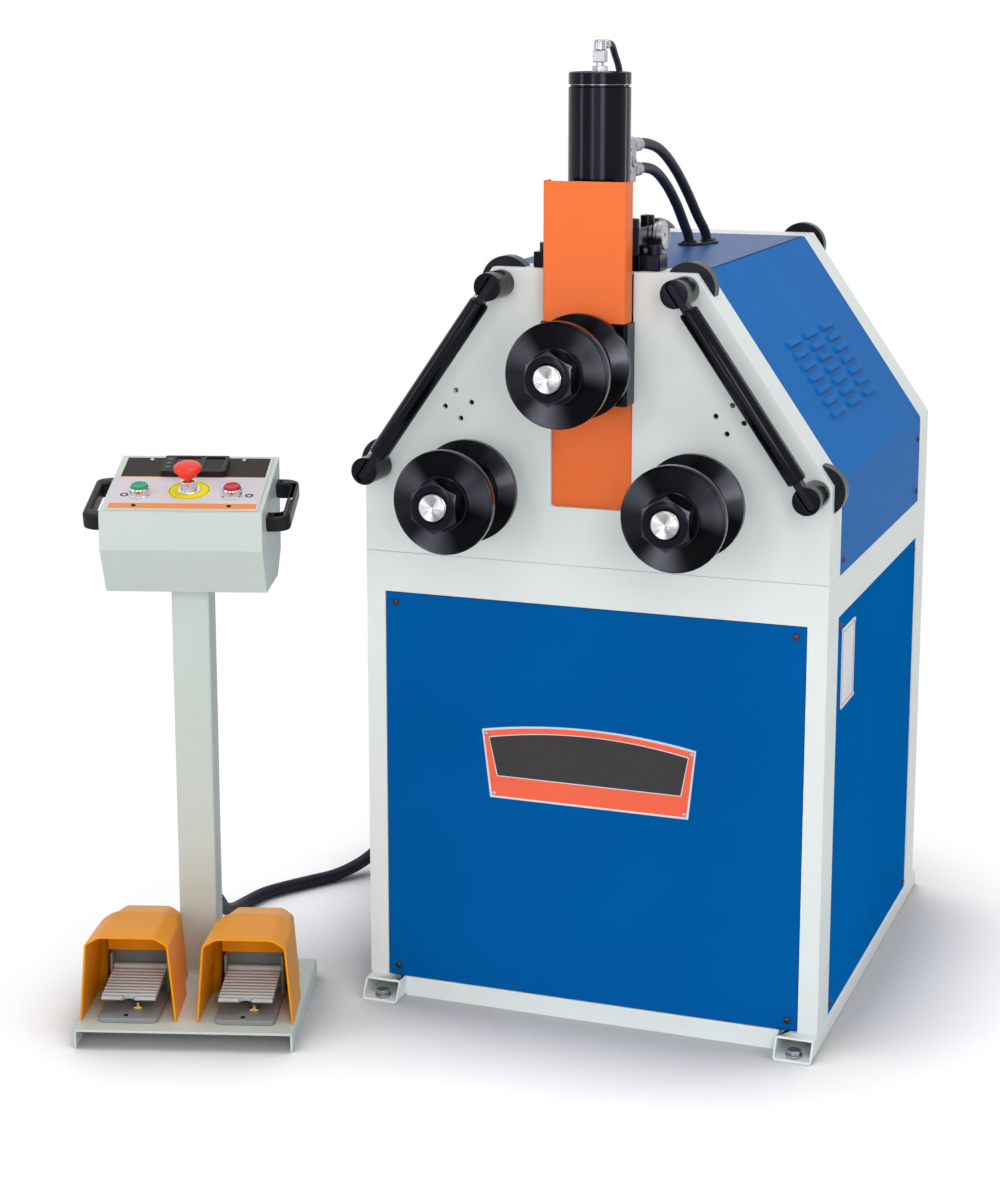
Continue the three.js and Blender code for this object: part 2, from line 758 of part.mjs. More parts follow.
// The thick plate that carries the shafts and the carriage, with the band welded behind it.
function frontHousing() {
  const past = [-OVERRUN, PLATE_T + OVERRUN];
  const slotLine = rectangle([-SLOT_W / 2, SLOT_W / 2], [ROLL_Z - SLOT_DROP, TOP_Z + SLOT_W]);
  const slot = plate("y", shapeOf(slotLine, SLOT_CORNER), ...past);
  const holes = bothSides((side) => {
    const quarter = [0, 1, 2, 3].map((k) => {
      const angle = HOLE_TILT * side + (k * Math.PI) / 2;
      const reach = HOLE_STEP / Math.SQRT2;
      const x = side * HOLE_X + reach * Math.cos(angle);
      const z = ROLL_Z + HOLE_RISE + reach * Math.sin(angle);
      return turned("y", [x, 0, z], disc(HOLE_R, ...past), COARSE);
    });
    const shaft = turned("y", [side * ROLL_X, 0, ROLL_Z], disc(COLLAR_R, ...past));
    return join(quarter, shaft);
  });
  const shank = disc(PEG_SHANK_R + SEAT, ...past);
  const around = disc(DISC_R + DISC_SLOT_GAP, DISC_Y - DISC_SLOT_GAP, DISC_Y + DISC_T + DISC_SLOT_GAP);
  const places = [...pegPlaces(-1), ...pegPlaces(1)];
  const pegs = places.map(([x, z]) => turned("y", [x, 0, z], shank));
  const discSlots = places.map(([x, z]) => turned("y", [x, 0, z], around));
  const across = [-ROD_OPENING / 2, ROD_OPENING / 2];
  const opening = block(across, [0, CYL_Y + ROD_OPENING / 2], [TOP_Z - ROD_OPENING, TOP_Z + OVERRUN]);
  const sheet = plate("y", housingLine(), 0, PLATE_T);
  return cut(join(sheet, housingBand(PLATE_T - SEAT, POST_D)), slot, holes, pegs, discSlots, opening);
}

// The rear plate and its band, with a disc on a stub at each upper corner.
function rearHousing() {
  const rearFace = CAB_D + REAR_DISC_OUT;
  const profile = [
    [0, CAB_D - REAR_PLATE_T - REAR_STUB_IN],
    [PEG_SHANK_R, CAB_D - REAR_PLATE_T - REAR_STUB_IN],
    [PEG_SHANK_R, rearFace],
    [DISC_R, rearFace],
    [DISC_R, rearFace + REAR_DISC_T],
    [0, rearFace + REAR_DISC_T],
  ];
  const discX = TOP_HALF_W - REAR_DISC_INSET;
  const discZ = TOP_Z - HIGH_PEG_DROP;
  const discs = bothSides((side) => turned("y", [side * discX, 0, discZ], profile));
  const sheet = plate("y", housingLine(), CAB_D - REAR_PLATE_T, CAB_D);
  return join(sheet, housingBand(CAB_D - POST_D, CAB_D - REAR_PLATE_T + SEAT), discs);
}

// Sheet panels

// A shallow tray, open at the back of the side that it faces.
function pan(ranges, axis, outward) {
  const inside = ranges.map(([low, high]) => [low + PANEL_T, high - PANEL_T]);
  const [low, high] = ranges[axis];
  inside[axis] = outward > 0 ? [low - OVERRUN, high - PANEL_T] : [low + PANEL_T, high + OVERRUN];
  return cut(block(...ranges), block(...inside));
}

const panelHeight = () => [SKID_H + PANEL_GAP, SEAM_Z - TOP_RAIL_H - PANEL_GAP];
const panelWidth = () => HALF_W - POST_W - PANEL_GAP;

function frontPanel() {
  const x = [-panelWidth(), panelWidth()];
  return pan([x, [PANEL_RECESS, PANEL_RECESS + PANEL_DEPTH], panelHeight()], 1, -1);
}

function rearPanel() {
  const x = [-panelWidth(), panelWidth()];
  const back = CAB_D - PANEL_RECESS;
  return pan([x, [back - PANEL_DEPTH, back], panelHeight()], 1, 1);
}

function sidePanel(side) {
  const face = HALF_W - PANEL_RECESS;
  const x = side > 0 ? [face - PANEL_DEPTH, face] : [-face, PANEL_DEPTH - face];
  const y = [POST_D + PANEL_GAP, CAB_D - POST_D - PANEL_GAP];
  return pan([x, y, panelHeight()], 0, side);
}

// One pressed louvre on the slope: the hood, and the mouth cut under it.
function louvre(side, up, y) {
  const along = new THREE.Vector3(side * slope.x, 0, slope.y);
  const out = new THREE.Vector3(side * slope.y, 0, -slope.x);
  const basis = new THREE.Matrix4().makeBasis(along, out, along.clone().cross(out));
  basis.setPosition(side * HALF_W, 0, SHOULDER_Z);
  const drawn = (points, length) => {
    const options = { depth: length, bevelEnabled: false };
    const geometry = new THREE.ExtrudeGeometry(shapeOf(points), options).translate(up, 0, -length / 2);
    return solidOf(geometry.applyMatrix4(basis).translate(0, y, 0));
  };
  const crown = LOUVRE_W / 3;
  const hood = drawn(
    [
      [0, -PANEL_T / 2],
      [LOUVRE_W, -PANEL_T / 2],
      [LOUVRE_W, 0],
      [crown, LOUVRE_H],
      [0, LOUVRE_H],
    ],
    LOUVRE_L,
  );
  const mouth = drawn(
    [
      [-LOUVRE_WALL, -PANEL_T - OVERRUN],
      [LOUVRE_W - 2 * LOUVRE_WALL, -PANEL_T - OVERRUN],
      [LOUVRE_W - 2 * LOUVRE_WALL, LOUVRE_WALL / 2],
      [crown, LOUVRE_H - LOUVRE_WALL],
      [-LOUVRE_WALL, LOUVRE_H - LOUVRE_WALL],
    ],
    LOUVRE_L - 2 * LOUVRE_WALL,
  );
  return { hood, mouth };
}

function sideCover(side) {
  const line = [
    [side * HALF_W, HOUSING_LOW_Z],
    [side * HALF_W, SHOULDER_Z],
    [side * TOP_HALF_W, TOP_Z],
  ];
  const outline = [...line, ...inset(line, PANEL_T, false, side).reverse()];
  const sheet = plate("y", outline, POST_D + SEAT, CAB_D - POST_D - SEAT);
  const louvres = [];
  for (let row = 0; row < LOUVRE_ROWS; row += 1) {
    for (let column = 0; column < LOUVRE_COLUMNS; column += 1) {
      const up = LOUVRE_FIRST + row * LOUVRE_ROW_STEP;
      const shift = column - (LOUVRE_COLUMNS - 1) / 2;
      louvres.push(louvre(side, up, CAB_D / 2 - LOUVRE_SHIFT + shift * LOUVRE_COLUMN_STEP));
    }
  }
  const raised = join(sheet, ...louvres.map(({ hood }) => hood));
  return cut(raised, ...louvres.map(({ mouth }) => mouth));
}

function topCover() {
  const reach = TOP_HALF_W - 2 * PANEL_T;
  const y = [POST_D + SEAT, CAB_D - POST_D - SEAT];
  return block([-reach, reach], y, [TOP_Z - PANEL_T, TOP_Z]);
}

// Rolls, shafts and nuts

function roll(x, z) {
  const outer = ROLL_D / 2;
  const hub = ROLL_HUB_D / 2;
  const bore = SHAFT_R + SEAT;
  const back = ROLL_BACK_Y;
  const front = ROLL_FRONT_Y;
  const profile = [
    [bore, front],
    [outer - ROLL_EDGE, front],
    [outer, front + ROLL_EDGE],
    [outer, front + ROLL_FLANGE_T],
    [hub, front + ROLL_FLANGE_T + ROLL_TAPER],
    [hub, back - ROLL_FLANGE_T - ROLL_TAPER],
    [outer, back - ROLL_FLANGE_T],
    [outer, back - ROLL_EDGE],
    [outer - ROLL_EDGE, back],
    [bore, back],
    [bore, front],
  ];
  return turned("y", [x, 0, z], profile, FINE);
}

// The stepped front of a shaft: bright tip, thread, roll seat and collar.
const shaftNose = () => [
  [0, ROLL_FRONT_Y - NUT_COLLAR_H - NUT_H - TIP_OUT],
  [THREAD_R - TIP_EDGE, ROLL_FRONT_Y - NUT_COLLAR_H - NUT_H - TIP_OUT],
  [THREAD_R, ROLL_FRONT_Y - NUT_COLLAR_H - NUT_H - TIP_OUT + TIP_EDGE],
  [THREAD_R, ROLL_FRONT_Y],
  [SHAFT_R, ROLL_FRONT_Y],
  [SHAFT_R, ROLL_BACK_Y + SEAT],
  [COLLAR_R, ROLL_BACK_Y + SEAT],
];

function lowerShaft(side) {
  const profile = [
    ...shaftNose(),
    [COLLAR_R, -SLIDE_GAP],
    [JOURNAL_R, -SLIDE_GAP],
    [JOURNAL_R, GEAR_Y - 2 * SEAT],
    [SHAFT_R, GEAR_Y - 2 * SEAT],
    [SHAFT_R, INNER_PLATE_Y - SLIDE_GAP],
    [TAIL_R, INNER_PLATE_Y - SLIDE_GAP],
    [TAIL_R, INNER_PLATE_Y + INNER_PLATE_T + TAIL_HOUSING_L],
    [0, INNER_PLATE_Y + INNER_PLATE_T + TAIL_HOUSING_L],
  ];
  return turned("y", [side * ROLL_X, 0, ROLL_Z], profile);
}

function topShaft() {
  const head = -BLOCK_HEAD_OUT - SLIDE_GAP;
  const profile = [
    ...shaftNose(),
    [COLLAR_R, head],
    [JOURNAL_R, head],
    [JOURNAL_R, BLOCK_BACK_Y + SLIDE_GAP],
    [COLLAR_R, BLOCK_BACK_Y + SLIDE_GAP],
    [COLLAR_R, BLOCK_BACK_Y + GUIDE_LIP_T],
    [0, BLOCK_BACK_Y + GUIDE_LIP_T],
  ];
  return turned("y", [0, 0, TOP_ROLL_Z], profile);
}

function shaftNut(x, z) {
  const collarEnd = ROLL_FRONT_Y - NUT_COLLAR_H;
  const end = collarEnd - NUT_H;
  const round = turned("y", [x, 0, z], disc(NUT_COLLAR_R, collarEnd, ROLL_FRONT_Y - SEAT));
  const hexR = NUT_AF / Math.sqrt(3);
  const hexBody = turned("y", [x, 0, z], disc(hexR, end, collarEnd + SEAT), HEXAGON);
  const crown = [
    [0, end - SEAT],
    [NUT_AF / 2 - TIP_EDGE, end - SEAT],
    [hexR + TIP_EDGE, end + hexR - NUT_AF / 2 + TIP_EDGE],
    [hexR + TIP_EDGE, collarEnd + SEAT],
    [0, collarEnd + SEAT],
  ];
  const hex = hexBody.intersect(turned("y", [x, 0, z], crown));
  const bore = disc(THREAD_R + SEAT, end - OVERRUN, ROLL_FRONT_Y + OVERRUN);
  return cut(join(round, hex), turned("y", [x, 0, z], bore));
}

function bearingHousing(side) {
  const neckEnd = PLATE_BACK_Y + HOUSING_L;
  const profile = [
    [JOURNAL_R + RUN, PLATE_BACK_Y],
    [HOUSING_R, PLATE_BACK_Y],
    [HOUSING_R, PLATE_BACK_Y + HOUSING_FLANGE_T],
    [HOUSING_NECK_R, PLATE_BACK_Y + HOUSING_FLANGE_T],
    [HOUSING_NECK_R, neckEnd],
    [JOURNAL_R + RUN, neckEnd],
    [JOURNAL_R + RUN, PLATE_BACK_Y],
  ];
  return turned("y", [side * ROLL_X, 0, ROLL_Z], profile);
}

// Gear train

// A spur gear's outline, with a tooth centred on the phase angle.
function gearOutline(teeth, x, z, phase) {
  const pitchR = (MODULE * teeth) / 2;
  const baseR = pitchR * Math.cos(PRESSURE_ANGLE);
  const spread = (radius) => {
    const angle = Math.acos(Math.min(1, baseR / radius));
    return Math.tan(angle) - angle;
  };
  const half = (radius) => {
    const atPitch = Math.PI / (2 * teeth) - BACKLASH / (2 * pitchR);
    return atPitch + spread(pitchR) - spread(Math.max(radius, baseR));
  };
  const radii = [pitchR - TOOTH_ROOT_SHARE * MODULE, pitchR, pitchR + TOOTH_TOP_SHARE * MODULE];
  const points = [];
  for (let tooth = 0; tooth < teeth; tooth += 1) {
    const middle = phase + (2 * Math.PI * tooth) / teeth;
    const rising = radii.map((radius) => [radius, middle - half(radius)]);
    const falling = radii.map((radius) => [radius, middle + half(radius)]).reverse();
    points.push(...rising, ...falling);
  }
  return points.map(([radius, angle]) => [x + radius * Math.cos(angle), z + radius * Math.sin(angle)]);
}

// The tooth angles that put the pinion in mesh with both roll gears.
function gearPhases() {
  const drop = Math.atan2(ROLL_Z - PINION_Z, ROLL_X);
  const step = (2 * Math.PI) / PINION_TEETH;
  const ratio = PINION_TEETH / ROLL_TEETH;
  const left = -drop;
  const pinion = Math.PI - drop + step / 2;
  const turns = (drop - pinion) / step;
  const past = (turns - Math.round(turns)) * step;
  const right = Math.PI + drop + past * ratio + (step * ratio) / 2;
  return { left, pinion, right };
}

function rollGear(side, phase) {
  const x = side * ROLL_X;
  const teeth = plate("y", gearOutline(ROLL_TEETH, x, ROLL_Z, phase), GEAR_Y, GEAR_Y + GEAR_T);
  const hub = turned("y", [x, 0, ROLL_Z], disc(GEAR_HUB_R, GEAR_Y, GEAR_Y + GEAR_T + PINION_HUB_L));
  const past = [GEAR_Y - OVERRUN, GEAR_Y + GEAR_T + PINION_HUB_L + OVERRUN];
  return cut(join(teeth, hub), turned("y", [x, 0, ROLL_Z], disc(SHAFT_R + SEAT, ...past)));
}

function drivePinion(phase) {
  const outline = gearOutline(PINION_TEETH, 0, PINION_Z, phase);
  const teeth = plate("y", outline, GEAR_Y, GEAR_Y + GEAR_T);
  const hub = disc(GEARBOX_BOSS_R, GEAR_Y, GEAR_Y + GEAR_T + PINION_HUB_L);
  return join(teeth, turned("y", [0, 0, PINION_Z], hub));
}

// The plate behind the gears, with a bearing boss for each shaft and four spacers to the front plate.
function innerPlate() {
  const back = INNER_PLATE_Y + INNER_PLATE_T;
  const past = [INNER_PLATE_Y - OVERRUN, back + TAIL_HOUSING_L + OVERRUN];
  const low = SEAM_Z - INNER_PLATE_DROP;
  const knee = ROLL_Z + INNER_PLATE_KNEE_RISE;
  const high = ROLL_Z + INNER_PLATE_RISE;
  const half = HALF_W - INNER_PLATE_MARGIN;
  const topHalf = HALF_W + ((high - SHOULDER_Z) * slope.x) / slope.y - INNER_PLATE_TOP_MARGIN;
  const outline = [
    [-half, low],
    [half, low],
    [half, knee],
    [topHalf, high],
    [-topHalf, high],
    [-half, knee],
  ];
  const sheet = plate("y", outline, INNER_PLATE_Y, back);
  const bossLength = disc(TAIL_HOUSING_R, back - SEAT, back + TAIL_HOUSING_L);
  const bosses = bothSides((side) => turned("y", [side * ROLL_X, 0, ROLL_Z], bossLength));
  const holes = bothSides((side) => turned("y", [side * ROLL_X, 0, ROLL_Z], disc(TAIL_R + RUN, ...past)));
  const opening = turned("y", [0, 0, PINION_Z], disc(GEARBOX_BOSS_R + SEAT, ...past));
  const spacers = bothSides((side) => {
    const length = disc(SPACER_R, PLATE_BACK_Y, INNER_PLATE_Y + SEAT);
    const below = [side * (half - SPACER_INSET), 0, ROLL_Z - LOW_SPACER_DROP];
    const above = [side * (topHalf - SPACER_INSET), 0, high - SPACER_INSET];
    return join([below, above].map((at) => turned("y", at, length, COARSE)));
  });
  return join(cut(join(sheet, bosses), holes, opening), spacers);
}

function gearMotor() {
  const face = INNER_PLATE_Y + INNER_PLATE_T + SEAT;
  const back = face + GEARBOX_D;
  const across = [-GEARBOX_W / 2, GEARBOX_W / 2];
  const high = [PINION_Z - GEARBOX_H / 2, PINION_Z + GEARBOX_H / 2];
  const box = plate("y", shapeOf(rectangle(across, high), GEARBOX_CORNER), face, back);
  const bossStart = GEAR_Y + GEAR_T + PINION_HUB_L + SEAT;
  const boss = turned("y", [0, 0, PINION_Z], disc(GEARBOX_BOSS_R, bossStart, face + SEAT));
  const profile = [
    [0, back - SEAT],
    [MOTOR_R, back - SEAT],
    [MOTOR_R, back + MOTOR_L - MOTOR_CAP_L],
    [MOTOR_CAP_R, back + MOTOR_L - MOTOR_CAP_L],
    [MOTOR_CAP_R, back + MOTOR_L],
    [0, back + MOTOR_L],
  ];
  return join(box, boss, turned("y", [0, 0, PINION_Z], profile));
}

// Carriage

function bearingBlock() {
  const headHalf = BLOCK_HEAD_W / 2;
  const front = -BLOCK_HEAD_OUT;
  const headLine = [
    [-headHalf, -SLIDE_GAP],
    [headHalf, -SLIDE_GAP],
    [headHalf, front + BLOCK_EDGE],
    [headHalf - BLOCK_EDGE, front],
    [BLOCK_EDGE - headHalf, front],
    [-headHalf, front + BLOCK_EDGE],
  ];
  const z = [BLOCK_LOW_Z, BLOCK_HIGH_Z];
  const head = plate("z", headLine, ...z);
  const neckHalf = SLOT_W / 2 - SLIDE_GAP;
  const neck = block([-neckHalf, neckHalf], [-SLIDE_GAP - SEAT, PLATE_BACK_Y + OVERRUN], z);
  const body = block([-BLOCK_W / 2, BLOCK_W / 2], [PLATE_BACK_Y + SEAT, BLOCK_BACK_Y], z);
  const bore = disc(JOURNAL_R + RUN, front - OVERRUN, BLOCK_BACK_Y + OVERRUN);
  return cut(join(head, neck, body), turned("y", [0, 0, TOP_ROLL_Z], bore));
}

// An L-shaped rail: it holds the block sideways, and its lip reaches round the back.
function guideRail(side) {
  const inner = BLOCK_W / 2 + RUN;
  const outer = inner + GUIDE_T;
  const back = BLOCK_BACK_Y + RUN;
  const line = [
    [side * inner, PLATE_BACK_Y],
    [side * outer, PLATE_BACK_Y],
    [side * outer, back + GUIDE_LIP_T],
    [side * (outer - GUIDE_LIP), back + GUIDE_LIP_T],
    [side * (outer - GUIDE_LIP), back],
    [side * inner, back],
  ];
  return plate("z", line, ROLL_Z - GUIDE_DROP, TOP_Z - GUIDE_TOP_GAP);
}

function lowerCover() {
  const x = [-BLOCK_W / 2, BLOCK_W / 2];
  const front = PLATE_BACK_Y + SEAT;
  const top = BLOCK_LOW_Z - SEAT;
  const sheet = block(x, [front, front + COVER_T], [top - LOWER_COVER_L, top]);
  const flange = block(x, [front, front + LOWER_COVER_FLANGE], [top - COVER_T, top]);
  return join(sheet, flange);
}

function upperCover() {
  const half = UPPER_COVER_W / 2;
  const front = -UPPER_COVER_OUT;
  const back = front + UPPER_COVER_D;
  const low = BLOCK_HIGH_Z + SEAT;
  const high = low + UPPER_COVER_H;
  const outside = shapeOf(rectangle([-half, half], [front, back + UPPER_COVER_BEND]), UPPER_COVER_BEND);
  const inside = rectangle([COVER_T - half, half - COVER_T], [front + COVER_T, back + UPPER_COVER_D]);
  const channel = cut(
    plate("z", outside, low, high),
    plate("z", inside, low + COVER_T, high + OVERRUN),
  );
  const across = [-half - OVERRUN, half + OVERRUN];
  return cut(channel, block(across, [back, back + UPPER_COVER_D], [low - OVERRUN, high + OVERRUN]));
}

function pistonRod() {
  const profile = [
    [0, BLOCK_HIGH_Z + SEAT],
    [ROD_R, BLOCK_HIGH_Z + SEAT],
    [ROD_R, PISTON_HIGH_Z - PISTON_H],
    [CYL_BORE_R - RUN, PISTON_HIGH_Z - PISTON_H],
    [CYL_BORE_R - RUN, PISTON_HIGH_Z],
    [0, PISTON_HIGH_Z],
  ];
  return turned("z", [0, CYL_Y, 0], profile);
}

// Cylinder and its flange

function cylinderBarrel() {
  const groove = CYL_HIGH_Z - CYL_GROOVE_DROP;
  const grooveHalf = CYL_GROOVE_W / 2;
  const profile = [
    [CYL_BORE_R, CYL_LOW_Z],
    [CYL_R, CYL_LOW_Z],
    [CYL_R, groove - grooveHalf],
    [CYL_R - CYL_GROOVE_D, groove - grooveHalf],
    [CYL_R - CYL_GROOVE_D, groove + grooveHalf],
    [CYL_R, groove + grooveHalf],
    [CYL_R, CYL_HIGH_Z - TIP_EDGE],
    [CYL_R - TIP_EDGE, CYL_HIGH_Z],
    [0, CYL_HIGH_Z],
    [0, CYL_HIGH_Z - CYL_CAP_T],
    [CYL_BORE_R, CYL_HIGH_Z - CYL_CAP_T],
    [CYL_BORE_R, CYL_LOW_Z],
  ];
  return turned("z", [0, CYL_Y, 0], profile);
}

function cylinderFlange() {
  const half = FLANGE_W / 2;
  const nose = FLANGE_NOSE_W / 2;
  const outline = [
    [-nose, FLANGE_FRONT_Y],
    [nose, FLANGE_FRONT_Y],
    [half, FLANGE_SHOULDER_Y],
    [half, FLANGE_BACK_Y],
    [-half, FLANGE_BACK_Y],
    [-half, FLANGE_SHOULDER_Y],
  ];
  const upper = plate("z", outline, FLANGE_MIDDLE_Z, FLANGE_HIGH_Z);
  const base = [FLANGE_LOW_Z, FLANGE_MIDDLE_Z + SEAT];
  const foot = block([-half, half], [FLANGE_FOOT_FRONT_Y, FLANGE_BACK_Y], base);
  const wingHalf = FLANGE_WING_W / 2;
  const wings = block([-wingHalf, wingHalf], [FLANGE_WING_FRONT_Y, FLANGE_WING_BACK_Y], base);
  const bore = disc(ROD_R + RUN, FLANGE_LOW_Z - OVERRUN, FLANGE_HIGH_Z + OVERRUN);
  return cut(join(upper, foot, wings, flangeBolts()), turned("z", [0, CYL_Y, 0], bore));
}

function flangeBolts() {
  const low = FLANGE_HIGH_Z - SEAT;
  const high = low + BOLT_HEAD_H;
  return bothSides((side) => {
    const x = side * (FLANGE_W / 2 - BOLT_INSET);
    return join(
      [FLANGE_SHOULDER_Y + BOLT_INSET, FLANGE_BACK_Y - BOLT_INSET].map((y) => {
        const head = turned("z", [x, y, 0], disc(BOLT_HEAD_R, low, high), COARSE);
        const socket = disc(BOLT_SOCKET_R, high - BOLT_HEAD_H / 2, high + OVERRUN);
        return cut(head, turned("z", [x, y, 0], socket, HEXAGON));
      }),
    );
  });
}

// Hydraulic parts

// The valve body on its foot, with two hose ferrules behind it.
function valveManifold() {
  const high = VALVE_LOW_Z + VALVE_H;
  const across = [-VALVE_W / 2, VALVE_W / 2];
  const body = plate(
    "z",
    shapeOf(rectangle(across, [VALVE_Y, VALVE_Y + VALVE_D]), VALVE_EDGE),
    VALVE_LOW_Z,
    high,
  );
  const footX = [-VALVE_FOOT_W / 2, VALVE_FOOT_W / 2];
  const foot = block(footX, [VALVE_Y, VALVE_Y + VALVE_FOOT_D], [CYL_LOW_Z, VALVE_LOW_Z + SEAT]);
  const ferrules = [HIGH_PORT_RISE, LOW_PORT_RISE].map((rise) => {
    const z = VALVE_LOW_Z + rise;
    const nutEnd = FERRULE_Y + FERRULE_NUT_L;
    const nut = turned("y", [PORT_X, 0, z], disc(FERRULE_NUT_R, FERRULE_Y - SEAT, nutEnd), HEXAGON);
    const cuff = disc(FERRULE_R, nutEnd - SEAT, nutEnd + FERRULE_L);
    return join(nut, turned("y", [PORT_X, 0, z], cuff, COARSE));
  });
  return join(body, foot, ferrules);
}

// The fitting on top of the cylinder, ending in a cuff for the bleed hose.
function bleedFitting() {
  const nutLow = CYL_HIGH_Z + SEAT;
  const nutHigh = nutLow + BLEED_NUT_H;
  const blockLow = nutHigh + BLEED_STEM_H;
  const blockHigh = blockLow + BLEED_BLOCK_H;
  const elbowZ = blockHigh + BLEED_ELBOW_R;
  const half = BLEED_BLOCK_W / 2;
  const at = [0, CYL_Y, 0];
  return join(
    turned("z", at, disc(BLEED_NUT_R, nutLow, nutHigh), HEXAGON),
    turned("z", at, disc(BLEED_STEM_R, nutHigh - SEAT, elbowZ), COARSE),
    block([-half, half], [CYL_Y - half, CYL_Y + half], [blockLow, blockHigh]),
    turned("z", at, disc(BLEED_ELBOW_R, blockHigh + SEAT, elbowZ + BLEED_CUFF_R), COARSE),
    turned("y", [0, 0, elbowZ], disc(BLEED_CUFF_R, CYL_Y, CYL_Y + BLEED_ELBOW_L), COARSE),
  );
}

// Where the two pressure hoses enter the plate on the top cover: the far one, then the near one.
const hoseEntries = () => [
  [FAR_ENTRY_X, CAB_D - FAR_ENTRY_BACK],
  [NEAR_ENTRY_X, CAB_D - NEAR_ENTRY_BACK],
];

// Both hoses, each from its port to its entry, and the plate that takes them.
function pressureHoses() {
  const [far, near] = hoseEntries();
  const end = TOP_Z + ENTRY_T;
  const hose = (rise, [x, y], shares) => {
    const start = new THREE.Vector3(PORT_X, HOSE_Y, VALVE_LOW_Z + rise);
    const way = new THREE.Vector3(x, y, end).sub(start);
    const points = shares.map((share) => new THREE.Vector3(...share).multiply(way).add(start).toArray());
    return tube(points, HOSE_R, HOSE_SIDES, HOSE_STEPS);
  };
  const high = hose(HIGH_PORT_RISE, far, HIGH_HOSE_SHARES);
  const low = hose(LOW_PORT_RISE, near, LOW_HOSE_SHARES);
  return join(high, low, hoseEntryPlate());
}

function bleedHose() {
  const start = CYL_Y + BLEED_ELBOW_L + SEAT;
  const elbowZ = CYL_HIGH_Z + SEAT + BLEED_NUT_H + BLEED_STEM_H + BLEED_BLOCK_H + BLEED_ELBOW_R;
  const down = VALVE_Y + VALVE_D + 3 * BLEED_HOSE_R;
  const points = [
    [0, start, elbowZ],
    [0, start + 4 * BLEED_HOSE_R, elbowZ - BLEED_HOSE_R / 5],
    [-BLEED_HOSE_R / 2, start + 9 * BLEED_HOSE_R, elbowZ - 3 * BLEED_HOSE_R],
    [-BLEED_HOSE_R, down - BLEED_HOSE_R, elbowZ - 9 * BLEED_HOSE_R],
    [-2 * BLEED_HOSE_R, down, elbowZ - 18 * BLEED_HOSE_R],
    [-3 * BLEED_HOSE_R, down, VALVE_LOW_Z],
    [-3 * BLEED_HOSE_R, down, TOP_Z + 8 * BLEED_HOSE_R],
    [-3 * BLEED_HOSE_R, down, TOP_Z + SEAT],
  ];
  return tube(points, BLEED_HOSE_R, HOSE_SIDES, HOSE_STEPS);
}

function hoseEntryPlate() {
  const [far, near] = hoseEntries();
  const low = TOP_Z + SEAT;
  const ends = [far, near].map(([x, y]) => turned("z", [x, y, 0], disc(ENTRY_R, low, low + ENTRY_T)));
  return join(plate("z", stripe(far, near, 2 * ENTRY_R), low, low + ENTRY_T), ends);
}

function pressureGauge() {
  const back = FLANGE_W / 2 + SEAT;
  const front = back + GAUGE_T;
  const profile = [
    [0, back],
    [GAUGE_BODY_R, back],
    [GAUGE_BODY_R, front - GAUGE_RIM_T],
    [GAUGE_R, front - GAUGE_RIM_T],
    [GAUGE_R, front],
    [GAUGE_R - GAUGE_RIM_W, front],
    [GAUGE_R - GAUGE_RIM_W, front - GAUGE_RECESS],
    [0, front - GAUGE_RECESS],
  ];
  return turned("x", [0, GAUGE_Y, FLANGE_MIDDLE_Z + GAUGE_RISE], profile);
}

function hydraulicTank() {
  const low = FLOOR_HIGH_Z + SEAT;
  const x = [TANK_X - TANK_W / 2, TANK_X + TANK_W / 2];
  const y = [TANK_Y - TANK_D / 2, TANK_Y + TANK_D / 2];
  const body = plate("z", shapeOf(rectangle(x, y), TANK_CORNER), low, low + TANK_H);
  const lip = [-TANK_LID_LIP, TANK_LID_LIP];
  const lidX = x.map((edge, i) => edge + lip[i]);
  const lidY = y.map((edge, i) => edge + lip[i]);
  const top = low + TANK_H;
  const lid = plate("z", shapeOf(rectangle(lidX, lidY), TANK_CORNER), top - SEAT, top + TANK_LID_T);
  return join(body, lid);
}

function pumpMotor() {
  const low = FLOOR_HIGH_Z + SEAT + TANK_H + TANK_LID_T + SEAT;
  const profile = [
    [0, low],
    [PUMP_R, low],
    [PUMP_R, low + PUMP_H],
    [PUMP_CAP_R, low + PUMP_H],
    [PUMP_CAP_R, low + PUMP_H + PUMP_CAP_H],
    [0, low + PUMP_H + PUMP_CAP_H],
  ];
  return turned("z", [TANK_X, TANK_Y, 0], profile);
}

// Side bars

